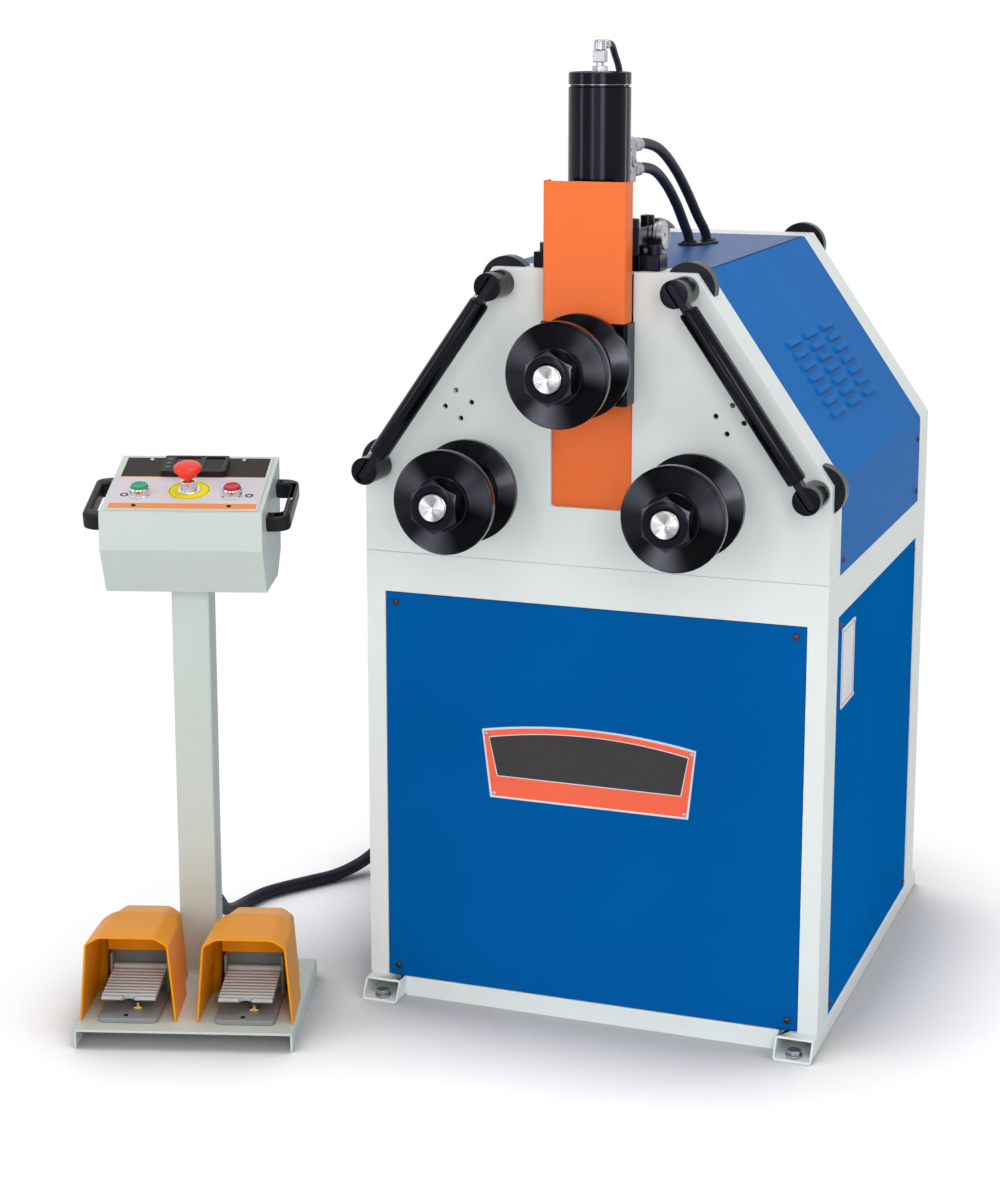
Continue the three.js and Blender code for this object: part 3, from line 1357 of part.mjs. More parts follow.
// A bar parallel to the slope, its flat tongues held in two slotted pegs. Each peg runs back
// through the plate and carries a disc behind it.
function sideBar(side) {
  const slotBottom = -PEG_HEAD_OUT + PEG_SLOT_D;
  const middleY = slotBottom - TONGUE_T / 2;
  const [low, high] = pegPlaces(side);
  const foot = new THREE.Vector3(low[0], middleY, low[1]);
  const head = new THREE.Vector3(high[0], middleY, high[1]);
  const length = foot.distanceTo(head);
  const profile = [
    [0, BAR_GAP],
    [BAR_R - TIP_EDGE, BAR_GAP],
    [BAR_R, BAR_GAP + TIP_EDGE],
    [BAR_R, length - BAR_GAP - TIP_EDGE],
    [BAR_R - TIP_EDGE, length - BAR_GAP],
    [0, length - BAR_GAP],
  ].map((point) => new THREE.Vector2(...point));
  const bar = new THREE.LatheGeometry(profile, ROUND);
  const along = head.clone().sub(foot).normalize();
  bar.applyQuaternion(new THREE.Quaternion().setFromUnitVectors(AXES.y, along));
  bar.translate(...foot.toArray());
  const line = stripe(low, high, TONGUE_W, TONGUE_OVER);
  const tongue = plate("y", line, middleY - TONGUE_T / 2, slotBottom + SEAT);
  const slotLine = stripe(low, high, TONGUE_W + 2 * SEAT, PEG_HEAD_R + OVERRUN);
  const slot = plate("y", slotLine, -PEG_HEAD_OUT - OVERRUN, slotBottom);
  const pegs = [low, high].map(([x, z]) => turned("y", [x, 0, z], pegProfile()));
  return join(cut(join(pegs), slot), solidOf(bar), tongue);
}

function pegProfile() {
  const back = DISC_Y + DISC_T;
  return [
    [0, -PEG_HEAD_OUT],
    [PEG_HEAD_R - PEG_EDGE, -PEG_HEAD_OUT],
    [PEG_HEAD_R, PEG_EDGE - PEG_HEAD_OUT],
    [PEG_HEAD_R, -SEAT],
    [PEG_SHANK_R, -SEAT],
    [PEG_SHANK_R, DISC_Y],
    [DISC_R, DISC_Y],
    [DISC_R, back],
    [PEG_SHANK_R, back],
    [PEG_SHANK_R, PEG_SHANK_END_Y],
    [0, PEG_SHANK_END_Y],
  ];
}

// Control stand, drawn in its own frame: origin on the floor under the middle of its base

function standBase() {
  const half = BASE_W / 2;
  const ends = [-BASE_D / 2, BASE_D / 2];
  const outer = plate("y", shapeOf(rectangle([-half, half], [-BASE_H, BASE_H]), BASE_BEND), ...ends);
  const inside = rectangle([BASE_T - half, half - BASE_T], [-2 * BASE_H, BASE_H - BASE_T]);
  const hollow = plate("y", inside, -BASE_D, BASE_D);
  const below = block([-BASE_W, BASE_W], [-BASE_D, BASE_D], [-2 * BASE_H, 0]);
  return cut(outer, hollow, below);
}

function standPost() {
  const half = STAND_POST_W / 2;
  const at = (reach) => [
    [STAND_POST_X - reach, STAND_POST_X + reach],
    [STAND_POST_V - reach, STAND_POST_V + reach],
  ];
  const low = BASE_H - SEAT;
  const high = BOX_LOW_Z - SEAT;
  const outer = plate("z", shapeOf(rectangle(...at(half)), STAND_POST_CORNER), low, high);
  return cut(outer, plate("z", rectangle(...at(half - TUBE_WALL)), BASE_H, high + OVERRUN));
}

// Where the sloping top of the console lies in the stand's frame.
function deckPlace() {
  const place = new THREE.Matrix4().makeRotationX(DECK_SLOPE);
  return place.setPosition(STAND_POST_X, STAND_POST_V, BOX_TOP_Z);
}

function consoleBox() {
  const half = BOX_D / 2;
  const footHalf = BOX_FOOT_D / 2;
  const line = [
    [-half, BOX_FRONT_TOP_Z],
    [-half, BOX_FRONT_KNEE_Z],
    [-footHalf, BOX_LOW_Z],
    [footHalf, BOX_LOW_Z],
    [half, BOX_REAR_KNEE_Z],
    [half, BOX_REAR_TOP_Z],
  ].map(([v, z]) => [v + STAND_POST_V, z]);
  const x = [STAND_POST_X - BOX_W / 2, STAND_POST_X + BOX_W / 2];
  const inside = [x[0] + BOX_WALL, x[1] - BOX_WALL];
  const shell = cut(plate("x", line, ...x), plate("x", inset(line, BOX_WALL, true), ...inside));
  const window = new THREE.BoxGeometry(WINDOW_W, WINDOW_D, 4 * BOX_WALL).applyMatrix4(deckPlace());
  const entry = disc(CABLE_HOLE_R, BOX_LOW_Z - OVERRUN, BOX_LOW_Z + BOX_WALL + OVERRUN);
  return cut(shell, solidOf(window), turned("z", [STAND_POST_X, STAND_POST_V, 0], entry));
}

// Console top, drawn flat in the deck's frame: u to the right, v up the slope

function consolePanel() {
  const outline = shapeOf(rectangle([-DECK_W / 2, DECK_W / 2], [-DECK_D / 2, DECK_D / 2]), DECK_CORNER);
  const past = [DECK_LOW - OVERRUN, DECK_TOP + OVERRUN];
  const buttons = bothSides((side) => {
    return turned("z", [side * BUTTON_X, BUTTON_V, 0], disc(CAP_R + RUN, ...past));
  });
  const stop = turned("z", [STOP_X, STOP_V, 0], disc(STEM_R + RUN, ...past));
  return join(cut(plate("z", outline, DECK_LOW, DECK_TOP), buttons, stop), buttonBezels());
}

function displayUnit() {
  const low = DECK_TOP + SEAT;
  const high = low + DISPLAY_H;
  const x = [-DISPLAY_W / 2, DISPLAY_W / 2];
  const y = [DISPLAY_V - DISPLAY_D / 2, DISPLAY_V + DISPLAY_D / 2];
  const frame = plate("z", shapeOf(rectangle(x, y), DISPLAY_CORNER), low, high);
  const screenX = [x[0] + DISPLAY_RIM, x[1] - DISPLAY_RIM];
  const screenY = [y[0] + DISPLAY_RIM, y[1] - DISPLAY_RIM];
  return cut(frame, block(screenX, screenY, [high - DISPLAY_RECESS, high + OVERRUN]));
}

function buttonBezels() {
  const low = DECK_TOP - SEAT;
  const ring = [
    [CAP_R + RUN, low],
    [BEZEL_FOOT_R, low],
    [BEZEL_FOOT_R, low + BEZEL_FOOT_H],
    [BEZEL_R, low + BEZEL_FOOT_H],
    [BEZEL_R, low + BEZEL_H],
    [CAP_R + RUN, low + BEZEL_H],
    [CAP_R + RUN, low],
  ];
  const collar = [
    [STEM_R + RUN, low],
    [STOP_COLLAR_FOOT_R, low],
    [STOP_COLLAR_FOOT_R, low + BEZEL_FOOT_H],
    [STOP_COLLAR_R, low + BEZEL_FOOT_H],
    [STOP_COLLAR_R, low + STOP_COLLAR_H],
    [STEM_R + RUN, low + STOP_COLLAR_H],
    [STEM_R + RUN, low],
  ];
  const bezels = bothSides((side) => turned("z", [side * BUTTON_X, BUTTON_V, 0], ring));
  return join(bezels, turned("z", [STOP_X, STOP_V, 0], collar));
}

function pushButton(side) {
  const high = DECK_TOP + SEAT + BEZEL_H + CAP_PROUD;
  const low = high - CAP_H;
  const profile = [
    [0, low - STEM_L],
    [STEM_R, low - STEM_L],
    [STEM_R, low],
    [CAP_R, low],
    [CAP_R, high - CAP_EDGE],
    [CAP_R - CAP_EDGE, high],
    [0, high],
  ];
  return turned("z", [side * BUTTON_X, BUTTON_V, 0], profile);
}

function emergencyButton() {
  const under = DECK_TOP + SEAT + STOP_COLLAR_H + STOP_TRAVEL;
  const high = DECK_TOP + STOP_HEAD_H;
  const head = STOP_HEAD_SHARES.map(([wide, up]) => [STOP_HEAD_R * wide, under + (high - under) * up]);
  const profile = [
    [0, -STEM_L / 2],
    [STEM_R, -STEM_L / 2],
    [STEM_R, under],
    [STOP_NECK_R, under],
    ...head,
    [0, high],
  ];
  return turned("z", [STOP_X, STOP_V, 0], profile);
}

function consoleHandle(side) {
  const z = [-HANDLE_DROP - HANDLE_H / 2, HANDLE_H / 2 - HANDLE_DROP];
  const wall = BOX_W / 2 + SEAT;
  const out = wall + HANDLE_OUT;
  const half = HANDLE_L / 2;
  const outer = [
    [side * wall, -half],
    [side * (out - HANDLE_CORNER), -half],
    [side * out, HANDLE_CORNER - half],
    [side * out, half - HANDLE_CORNER],
    [side * (out - HANDLE_CORNER), half],
    [side * wall, half],
  ];
  const gapX = [side * (wall - OVERRUN), side * (out - HANDLE_BAR)];
  const gap = rectangle(gapX, [HANDLE_ARM - half, half - HANDLE_ARM]);
  return cut(plate("z", outer, ...z), plate("z", gap, z[0] - OVERRUN, z[1] + OVERRUN));
}

// Pedals

// The guard's section at a place along it, the wall's thickness inside its face and reaching below it.
function guardRing(x, v, wall, below, [widthShare, heightShare]) {
  const width = GUARD_W * widthShare;
  const foot = width / 2 - wall;
  const knee = foot - width * GUARD_KNEE_SHARE;
  const edge = foot - width * GUARD_BEVEL_SHARE;
  const low = BASE_H + SEAT;
  const top = low + GUARD_H * heightShare - wall;
  const bend = top - GUARD_H * GUARD_DROP_SHARE;
  const half = [
    [foot, low - below],
    [knee, bend],
    [edge, top],
  ];
  const mirrored = half.map(([u, z]) => [-u, z]);
  return [...mirrored, ...half.reverse()].map(([u, z]) => [x + u, v, z]);
}

// The hood over a pedal, open below and in front.
function pedalHood(x) {
  const outside = [GUARD_FRONT_V, GUARD_STEP_V, GUARD_NECK_V, GUARD_BACK_V];
  const inside = [GUARD_FRONT_V - OVERRUN, GUARD_STEP_V, GUARD_NECK_V, GUARD_BACK_V - GUARD_WALL];
  const shell = loft(outside.map((v, i) => guardRing(x, v, 0, 0, GUARD_SHARES[i])));
  const hollow = loft(inside.map((v, i) => guardRing(x, v, GUARD_WALL, OVERRUN, GUARD_SHARES[i])));
  return cut(shell, hollow);
}

// How far below the hinge line the tread's underside lies, a given way in front of it.
function treadUnderside(way, angle) {
  return way * Math.tan(angle) + TREAD_T / Math.cos(angle);
}

// The hood, the sole under it, the switch body at the back with two ears for the hinge pin,
// and the pin that the tread presses down on.
function pedalHousing(side) {
  const x = side * PEDAL_X;
  const low = BASE_H + SEAT;
  const floor = low + PEDAL_BASE_T;
  const half = PEDAL_BASE_W / 2;
  const across = [x - half, x + half];
  const soleLine = rectangle(across, [PEDAL_BASE_FRONT_V, SWITCH_BACK_V]);
  const sole = plate("z", shapeOf(soleLine, PEDAL_BASE_CORNER), low, floor);
  const body = block(across, [SWITCH_FRONT_V, GUARD_BACK_V - SEAT], [floor - SEAT, floor + SWITCH_H]);
  const ears = [-1, 1].map((hand) => {
    const ear = [x + hand * (half - EAR_T), x + hand * half];
    const sheet = block(ear, [EAR_FRONT_V, SWITCH_FRONT_V + SEAT], [floor - SEAT, floor + SWITCH_H]);
    const hole = disc(HINGE_PIN_R + RUN / 2, x - half - OVERRUN, x + half + OVERRUN);
    return cut(sheet, turned("x", [0, HINGE_V, HINGE_Z], hole, COARSE));
  });
  const drop = treadUnderside(HINGE_V - STOP_PIN_V + STOP_PIN_R, TREAD_SLOPE + TREAD_TRAVEL);
  const pin = disc(STOP_PIN_R, floor - SEAT, HINGE_Z - drop - RUN);
  const pinPlace = [x + STOP_PIN_X, STOP_PIN_V, 0];
  return join(pedalHood(x), sole, body, ears, turned("z", pinPlace, pin, COARSE));
}

// A ribbed tread, its plate sloping down to the front from the hinge.
function tread(side) {
  const x = side * PEDAL_X;
  const half = PEDAL_BASE_W / 2 - EAR_T - RUN;
  const line = [
    [0, 0],
    [0, -TREAD_T],
    [-TREAD_L, -TREAD_T],
    [-TREAD_L - TREAD_T / 2, -TREAD_T / 2],
    [-TREAD_L, 0],
  ];
  const step = (TREAD_L - 2 * HINGE_R) / (2 * TREAD_RIBS);
  for (let i = 0; i < TREAD_RIBS; i += 1) {
    const start = -TREAD_L + step * (2 * i + 1);
    line.push([start, 0]);
    line.push([start + step / 4, TREAD_RIB_H]);
    line.push([start + step * 0.75, TREAD_RIB_H]);
    line.push([start + step, 0]);
  }
  const turnedLine = line.map(([v, z]) => [
    HINGE_V + v * Math.cos(TREAD_SLOPE) - z * Math.sin(TREAD_SLOPE),
    HINGE_Z + v * Math.sin(TREAD_SLOPE) + z * Math.cos(TREAD_SLOPE),
  ]);
  const sole = plate("x", turnedLine, x - half, x + half);
  const barrel = turned("x", [0, HINGE_V, HINGE_Z], disc(HINGE_R, x - half, x + half), COARSE);
  const pinReach = PEDAL_BASE_W / 2;
  const pin = turned("x", [0, HINGE_V, HINGE_Z], disc(HINGE_PIN_R, x - pinReach, x + pinReach), COARSE);
  const frontV = HINGE_V - (TREAD_L + TREAD_T / 2) * Math.cos(TREAD_SLOPE);
  const notch = disc(TREAD_NOTCH_R, BASE_H, HINGE_Z + TREAD_T);
  return cut(join(sole, barrel, pin), turned("z", [x, frontV, 0], notch, COARSE));
}

// Control cord and its glands

const standPlace = () => new THREE.Matrix4().makeRotationZ(STAND_TURN).setPosition(STAND_X, STAND_Y, 0);

// The place and the way out of each gland: the stand's, then the cabinet's.
function glandPlaces() {
  const postBack = STAND_POST_V + STAND_POST_W / 2 + SEAT;
  const foot = new THREE.Vector3(STAND_POST_X, postBack, STAND_GLAND_Z).applyMatrix4(standPlace());
  const out = AXES.y.clone().transformDirection(standPlace());
  const face = -HALF_W + PANEL_RECESS - SEAT;
  const glandY = CAB_D - CABINET_GLAND_BACK;
  return [
    { foot, out },
    { foot: new THREE.Vector3(face, glandY, CABINET_GLAND_Z), out: AXES.x.clone().negate() },
  ];
}

function cordGland({ foot, out }) {
  const profile = [
    [0, 0],
    [GLAND_R, 0],
    [GLAND_R, GLAND_NUT_L],
    [GLAND_MOUTH_R + TIP_EDGE, GLAND_NUT_L],
    [GLAND_MOUTH_R, GLAND_L],
    [0, GLAND_L],
  ].map((point) => new THREE.Vector2(...point));
  const geometry = new THREE.LatheGeometry(profile, COARSE);
  geometry.applyQuaternion(new THREE.Quaternion().setFromUnitVectors(AXES.y, out));
  return solidOf(geometry.translate(...foot.toArray()));
}

function controlCord() {
  const [start, end] = glandPlaces().map(({ foot, out }) => {
    return [GLAND_L + SEAT, GLAND_L + 2 * CORD_R].map((reach) => {
      return foot.clone().addScaledVector(out, reach).toArray();
    });
  });
  const rest = CORD_R + SEAT;
  const [x, y] = start[1];
  const [endX, endY, endZ] = end[1];
  const laid = CORD_SHARES.map(([across, back, up]) => {
    return [x + (endX - x) * across, y + (endY - y) * back, rest + (endZ - rest) * up];
  });
  return tube([...start, ...laid, ...end.reverse()], CORD_R, CORD_SIDES, CORD_STEPS);
}

// Assembly

add("base_frame", join(skids(), framePosts(), frameRails(), floorPlate()), WHITE);
add("front_housing", frontHousing(), WHITE);
add("rear_housing", rearHousing(), WHITE);
add("front_panel", frontPanel(), BLUE);
add("rear_panel", rearPanel(), BLUE);
add("side_panel_left", sidePanel(-1), BLUE);
add("side_panel_right", sidePanel(1), BLUE);
add("side_cover_left", sideCover(-1), BLUE);
add("side_cover_right", sideCover(1), BLUE);
add("top_cover", topCover(), BLUE);

const phases = gearPhases();
add("lower_roll_left", roll(-ROLL_X, ROLL_Z), BLACK_STEEL);
add("lower_roll_right", roll(ROLL_X, ROLL_Z), BLACK_STEEL);
add("top_roll", roll(0, TOP_ROLL_Z), BLACK_STEEL);
add("lower_shaft_left", lowerShaft(-1), STEEL);
add("lower_shaft_right", lowerShaft(1), STEEL);
add("top_shaft", topShaft(), STEEL);
add("roll_nut_left", shaftNut(-ROLL_X, ROLL_Z), BLACK_STEEL);
add("roll_nut_right", shaftNut(ROLL_X, ROLL_Z), BLACK_STEEL);
add("roll_nut_top", shaftNut(0, TOP_ROLL_Z), BLACK_STEEL);
add("bearing_housing_left", bearingHousing(-1), CASTING);
add("bearing_housing_right", bearingHousing(1), CASTING);
add("roll_gear_left", rollGear(-1, phases.left), STEEL);
add("roll_gear_right", rollGear(1, phases.right), STEEL);
add("drive_pinion", drivePinion(phases.pinion), STEEL);
add("inner_plate", innerPlate(), CASTING);
add("gear_motor", gearMotor(), CASTING);

add("bearing_block", bearingBlock(), BLACK_STEEL);
add("guide_rail_left", guideRail(-1), STEEL);
add("guide_rail_right", guideRail(1), STEEL);
add("lower_cover", lowerCover(), ORANGE);
add("upper_cover", upperCover(), ORANGE);
add("piston_rod", pistonRod(), ZINC);
add("cylinder_barrel", cylinderBarrel(), BLACK_STEEL);
add("cylinder_flange", cylinderFlange(), BLACK_STEEL);

add("valve_manifold", valveManifold(), ZINC);
add("pressure_hoses", pressureHoses(), RUBBER);
add("bleed_fitting", bleedFitting(), ZINC);
add("bleed_hose", bleedHose(), RUBBER);
add("pressure_gauge", pressureGauge(), ZINC);
add("hydraulic_tank", hydraulicTank(), CASTING);
add("pump_motor", pumpMotor(), CASTING);
add("side_bar_left", sideBar(-1), BLACK_STEEL);
add("side_bar_right", sideBar(1), BLACK_STEEL);

add("stand_frame", join(standBase(), standPost()), GREY_PAINT, stand);
add("console_box", consoleBox(), GREY_PAINT, stand);
add("console_panel", consolePanel(), ZINC, deck);
add("display_unit", displayUnit(), BLACK_PLASTIC, deck);
add("start_button", pushButton(-1), GREEN, deck);
add("stop_button", pushButton(1), DARK_RED, deck);
add("emergency_button", emergencyButton(), RED, deck);
add("console_handle_left", consoleHandle(-1), BLACK_PLASTIC, deck);
add("console_handle_right", consoleHandle(1), BLACK_PLASTIC, deck);
add("pedal_housing_left", pedalHousing(-1), SAFETY_YELLOW, stand);
add("pedal_housing_right", pedalHousing(1), SAFETY_YELLOW, stand);
add("pedal_tread_left", tread(-1), ZINC, stand);
add("pedal_tread_right", tread(1), ZINC, stand);
const [standGland, cabinetGland] = glandPlaces();
add("stand_gland", cordGland(standGland), BLACK_PLASTIC);
add("cabinet_gland", cordGland(cabinetGland), BLACK_PLASTIC);
const cord = add("control_cord", controlCord(), RUBBER);

deck.applyMatrix4(deckPlace());
stand.add(deck);
stand.applyMatrix4(standPlace());
root.add(stand);

// The origin lies on the floor under the middle of everything but the cord.
const bounds = new THREE.Box3();
root.updateMatrixWorld(true);
root.traverse((piece) => {
  if (piece.isMesh && piece !== cord) bounds.expandByObject(piece, true);
});
const middle = bounds.getCenter(new THREE.Vector3());
root.position.set(-middle.x, -middle.y, -bounds.min.z);

const group = new THREE.Group();
group.add(root);

export default group;
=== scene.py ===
# %% [markdown]
# # A hydraulic roll bender, dressed for its portrait
# The machine bends bars between three rolls. Its solids already exist as a fixed frame, in metres,
# with +Z up. This script gives them painted, turned and pressed surfaces, one cell at a time.

import math

import bmesh
import bpy
from mathutils import Matrix, Vector


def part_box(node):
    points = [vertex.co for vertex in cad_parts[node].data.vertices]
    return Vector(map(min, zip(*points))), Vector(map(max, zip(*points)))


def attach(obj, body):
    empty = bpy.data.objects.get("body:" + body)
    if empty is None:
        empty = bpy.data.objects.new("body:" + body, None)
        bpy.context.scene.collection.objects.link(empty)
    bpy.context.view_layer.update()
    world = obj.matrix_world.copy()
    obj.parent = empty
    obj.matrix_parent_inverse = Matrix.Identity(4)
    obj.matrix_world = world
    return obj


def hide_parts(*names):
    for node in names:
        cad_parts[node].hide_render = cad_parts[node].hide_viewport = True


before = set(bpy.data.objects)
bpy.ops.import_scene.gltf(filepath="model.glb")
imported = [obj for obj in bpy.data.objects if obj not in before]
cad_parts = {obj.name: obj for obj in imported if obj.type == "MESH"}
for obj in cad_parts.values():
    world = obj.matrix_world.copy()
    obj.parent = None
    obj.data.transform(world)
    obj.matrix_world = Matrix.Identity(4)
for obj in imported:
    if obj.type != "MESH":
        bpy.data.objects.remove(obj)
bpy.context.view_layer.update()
scene = bpy.context.scene

# %% [markdown]
# ## Two rulers
# All sizes below are in millimetres from the cabinet: x from its centre plane, y from its front
# face, z from the floor. `at` turns them into metres in the frame. The control stand is turned on
# the floor, and its console top slopes, so each has a matrix of its own.

# %% Places
HALF_W, CAB_D, SKID_REACH, SEAM_Z = 365.5, 755, 40, 727
SIDES = (("left", -1), ("right", 1))
UP = Vector((0, 0, 1))
low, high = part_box("base_frame")
ORIGIN = Vector((low[0] + HALF_W / 1000, low[1] + SKID_REACH / 1000, 0.0))


def at(x, y, z):
    """A place on the machine, from millimetres to metres."""
    return ORIGIN + Vector((x, y, z)) / 1000


METRES = Matrix.Scale(0.001, 4)
MACHINE = Matrix.Translation(ORIGIN) @ METRES
STAND = MACHINE @ Matrix.Translation((-586, -171.7, 0)) @ Matrix.Rotation(math.radians(17.5), 4, "Z")
DECK_SLOPE = math.atan((851 - 798) / 200)
DECK = STAND @ Matrix.Translation((-14, 114, 824.5)) @ Matrix.Rotation(DECK_SLOPE, 4, "X")
print("origin of the cabinet in the frame:", [round(v, 4) for v in ORIGIN])


# %% [markdown]
# ## Small workshop of helpers
# A mesh is made in bmesh, put into the scene with its place in its vertices, and shaded smooth
# with sharp edges where two faces meet at a clear angle. Every piece then rides on a body.

# %% Helper: put a mesh into the scene
def linked(name, data):
    """A new object in the scene."""
    obj = bpy.data.objects.new(name, data)
    scene.collection.objects.link(obj)
    return obj


def smooth(obj, angle):
    """Smooth shading, with sharp edges where two faces meet at more than the angle."""
    obj.data.polygons.foreach_set("use_smooth", [True] * len(obj.data.polygons))
    obj.data.set_sharp_from_angle(angle=math.radians(angle))
    return obj


def piece_from(name, bm, look, matrix=None, angle=32):
    if matrix is not None:
        bm.transform(matrix)
    mesh = bpy.data.meshes.new(name)
    bm.to_mesh(mesh)
    bm.free()
    mesh.materials.append(look)
    return smooth(linked(name, mesh), angle)


def bake(obj):
    """Turns an object with modifiers, or a curve, into a plain mesh object in its place."""
    bpy.context.view_layer.update()
    mesh = bpy.data.meshes.new_from_object(obj.evaluated_get(bpy.context.evaluated_depsgraph_get()))
    mesh.transform(obj.matrix_world)
    name = obj.name
    bpy.data.objects.remove(obj)
    mesh.name = name
    return linked(name, mesh)


def modified(obj, kind, **settings):
    """Adds a modifier to an object."""
    modifier = obj.modifiers.new(kind.lower(), kind)
    for key, value in settings.items():
        setattr(modifier, key, value)
    return obj


def creased(obj, angle):
    """Sharp corners and smooth bends; wide faces stay flat beside their narrow bevels."""
    return bake(modified(smooth(obj, angle), "WEIGHTED_NORMAL", keep_sharp=True))


def mount(obj, *nodes, body="machine", slot=None):
    """Lets a piece ride on a body and hides the solids that it stands for; slot is not used."""
    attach(obj, body)
    if nodes:
        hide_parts(*nodes)
    return obj


# %% Camera
# The camera looks from the right of the machine and a little above the rolls. A small shift of the
# film keeps the uprights nearly parallel, as an architectural lens does.
FOCAL_PX, IMAGE_PX, SHIFT_PX, SENSOR_MM = 2421.669, 1193, 100, 36
YAW, PITCH = -0.353884, -0.193940
camera = linked("portrait_camera", bpy.data.cameras.new("portrait_camera"))
scene.camera = camera
camera.data.sensor_width = SENSOR_MM
camera.data.lens = FOCAL_PX * SENSOR_MM / IMAGE_PX
camera.data.shift_y = -SHIFT_PX / IMAGE_PX
camera.data.clip_end = 60
looking = Vector((math.sin(YAW) * math.cos(PITCH), math.cos(YAW) * math.cos(PITCH), math.sin(PITCH)))
camera.location = at(1104.147, -3379.485, 1533.381)
camera.rotation_mode = "QUATERNION"
camera.rotation_quaternion = looking.to_track_quat("-Z", "Y")
print("lens:", round(camera.data.lens, 2), "mm, shift:", round(camera.data.shift_y, 4))


# %% [markdown]
# ## Paint, steel and rubber
# Real paint is never one flat colour. Each finish mixes two close tones through a soft noise,
# lets its gloss vary a little, and has a fine bump: orange peel on paint, fine scratches on steel.
# All patterns read object coordinates, which are the machine's own metres.

# %% Helper: nodes
def feed(socket, value):
    """Gives an input a fixed value, or links another node's output to it."""
    if isinstance(value, bpy.types.NodeSocket):
        socket.id_data.links.new(value, socket)
    else:
        socket.default_value = value


def wired(tree, kind, inputs=(), out=0, **settings):
    """Adds a node, feeds its inputs, and returns one of its outputs."""
    made = tree.nodes.new(kind)
    for key, value in settings.items():
        setattr(made, key, value)
    for key, value in dict(inputs).items():
        feed(made.inputs[key], value)
    return made.outputs[out]


def ramped(tree, value, stops, interpolation="LINEAR"):
    """A colour ramp through (place, colour) stops, given from left to right."""
    colour = wired(tree, "ShaderNodeValToRGB", {"Fac": value})
    ramp = colour.node.color_ramp
    ramp.interpolation = interpolation
    ramp.elements[0].position, ramp.elements[1].position = stops[0][0], stops[-1][0]
    for place, tone in stops[1:-1]:
        ramp.elements.new(place)
    for stop, (place, tone) in zip(ramp.elements, stops):
        stop.color = (*tone, 1)
    return colour


def shaded(name, inputs):
    """A material whose shader gets these inputs."""
    material = bpy.data.materials.new(name)
    material.use_nodes = True
    for key, value in inputs.items():
        feed(material.node_tree.nodes["Principled BSDF"].inputs[key], value)
    return material


# %% Helper: a two-tone finish
def srgb(colour):
    """A colour from 0 to 255 as a screen shows it, turned into light."""
    return tuple(((v / 255 + 0.055) / 1.055) ** 2.4 if v > 10 else v / 255 / 12.92 for v in colour)


def finish(name, slot, tone, shade, rough, gloss=0.5, metal=0.0, grain=500.0, bump=0.02, blotch=3.0,
           swing=0.12, stretch=(1, 1, 1)):
    material = shaded(name, {"Metallic": metal, "Specular IOR Level": gloss})
    tree = material.node_tree
    place = wired(tree, "ShaderNodeTexCoord", out="Object")
    stretched = wired(tree, "ShaderNodeMapping", {"Vector": place, "Scale": stretch})
    cloud = wired(tree, "ShaderNodeTexNoise", {"Vector": place, "Scale": blotch, "Detail": 6,
                                               "Roughness": 0.6})
    fine = wired(tree, "ShaderNodeTexNoise", {"Vector": stretched, "Scale": grain, "Detail": 4})
    shader = tree.nodes["Principled BSDF"].inputs
    feed(shader["Base Color"], ramped(tree, cloud, ((0.32, srgb(shade)), (0.68, srgb(tone)))))
    feed(shader["Roughness"], wired(tree, "ShaderNodeMapRange", {
        "Value": fine, "From Min": 0.3, "From Max": 0.7,
        "To Min": max(0.03, rough - swing / 2), "To Max": min(1.0, rough + swing / 2)}))
    feed(shader["Normal"], wired(tree, "ShaderNodeBump", {"Height": fine, "Strength": bump,
                                                          "Distance": 0.0006}))
    return material


# %% Finishes
PAINT = {"grain": 420, "bump": 0.08}
WHITE_PAINT = finish("white_paint", "frame_white", (226, 232, 231), (219, 226, 225), 0.40, 0.25, **PAINT)
BLUE = {"grain": 330, "bump": 0.14}
BLUE_PAINT = finish("blue_paint", "panel_blue", (3, 91, 162), (2, 85, 154), 0.5, 0.0, **BLUE)
# A lighter copy of the same blue for the side panels: painted light for the lamps at a slant.
BLUE_SIDE_PAINTED_LIGHT = finish("blue_paint_side", "panel_blue", (3, 106, 183), (2, 100, 175), 0.5, 0.0, **BLUE)
BLUE_TOP = finish("blue_paint_top", "panel_blue", (34, 80, 138), (30, 75, 131), 0.42, 0.16, **BLUE)
BLUE_SLOPE = finish("blue_paint_light", "panel_blue", (8, 106, 182), (5, 100, 175), 0.45, 0.02, grain=330,
                    bump=0.12)
ORANGE_PAINT = finish("orange_paint", "cover_orange", (243, 119, 62), (238, 114, 57), 0.38, 0.12, **PAINT)
YELLOW_PAINT = finish("guard_paint", "guard_yellow", (244, 158, 12), (232, 146, 8), 0.36, 0.12, grain=350,
                      bump=0.1)
GREY_PAINT = finish("stand_paint", "stand_grey", (206, 214, 209), (197, 206, 200), 0.42, 0.2, grain=420,
                    bump=0.1)
BLACK_GLOSS = finish("black_gloss", "black_steel", (9, 9, 14), (5, 5, 9), 0.15, 0.17, grain=260, bump=0.008,
                     blotch=9, swing=0.04)
BLACK_SATIN = finish("black_satin", "black_steel", (24, 24, 30), (16, 16, 22), 0.30, 0.2, grain=300,
                     bump=0.05, blotch=9)
for look in (BLACK_GLOSS, BLACK_SATIN):
    look.node_tree.nodes["Principled BSDF"].inputs["Specular Tint"].default_value = (0.72, 0.76, 1, 1)
STEEL = {"metal": 1.0, "bump": 0.05}
BRIGHT_STEEL = finish("bright_steel", "bright_steel", (196, 198, 204), (166, 169, 176), 0.24, metal=1.0,
                      bump=0.08)
# Lighter steel for the nut's corner chamfers: partly edge wear, partly a painted highlight along the edges.
EDGE_WEAR_AND_HIGHLIGHT = finish("worn_edge", "black_steel", (60, 60, 72), (44, 44, 54), 0.25, **STEEL)
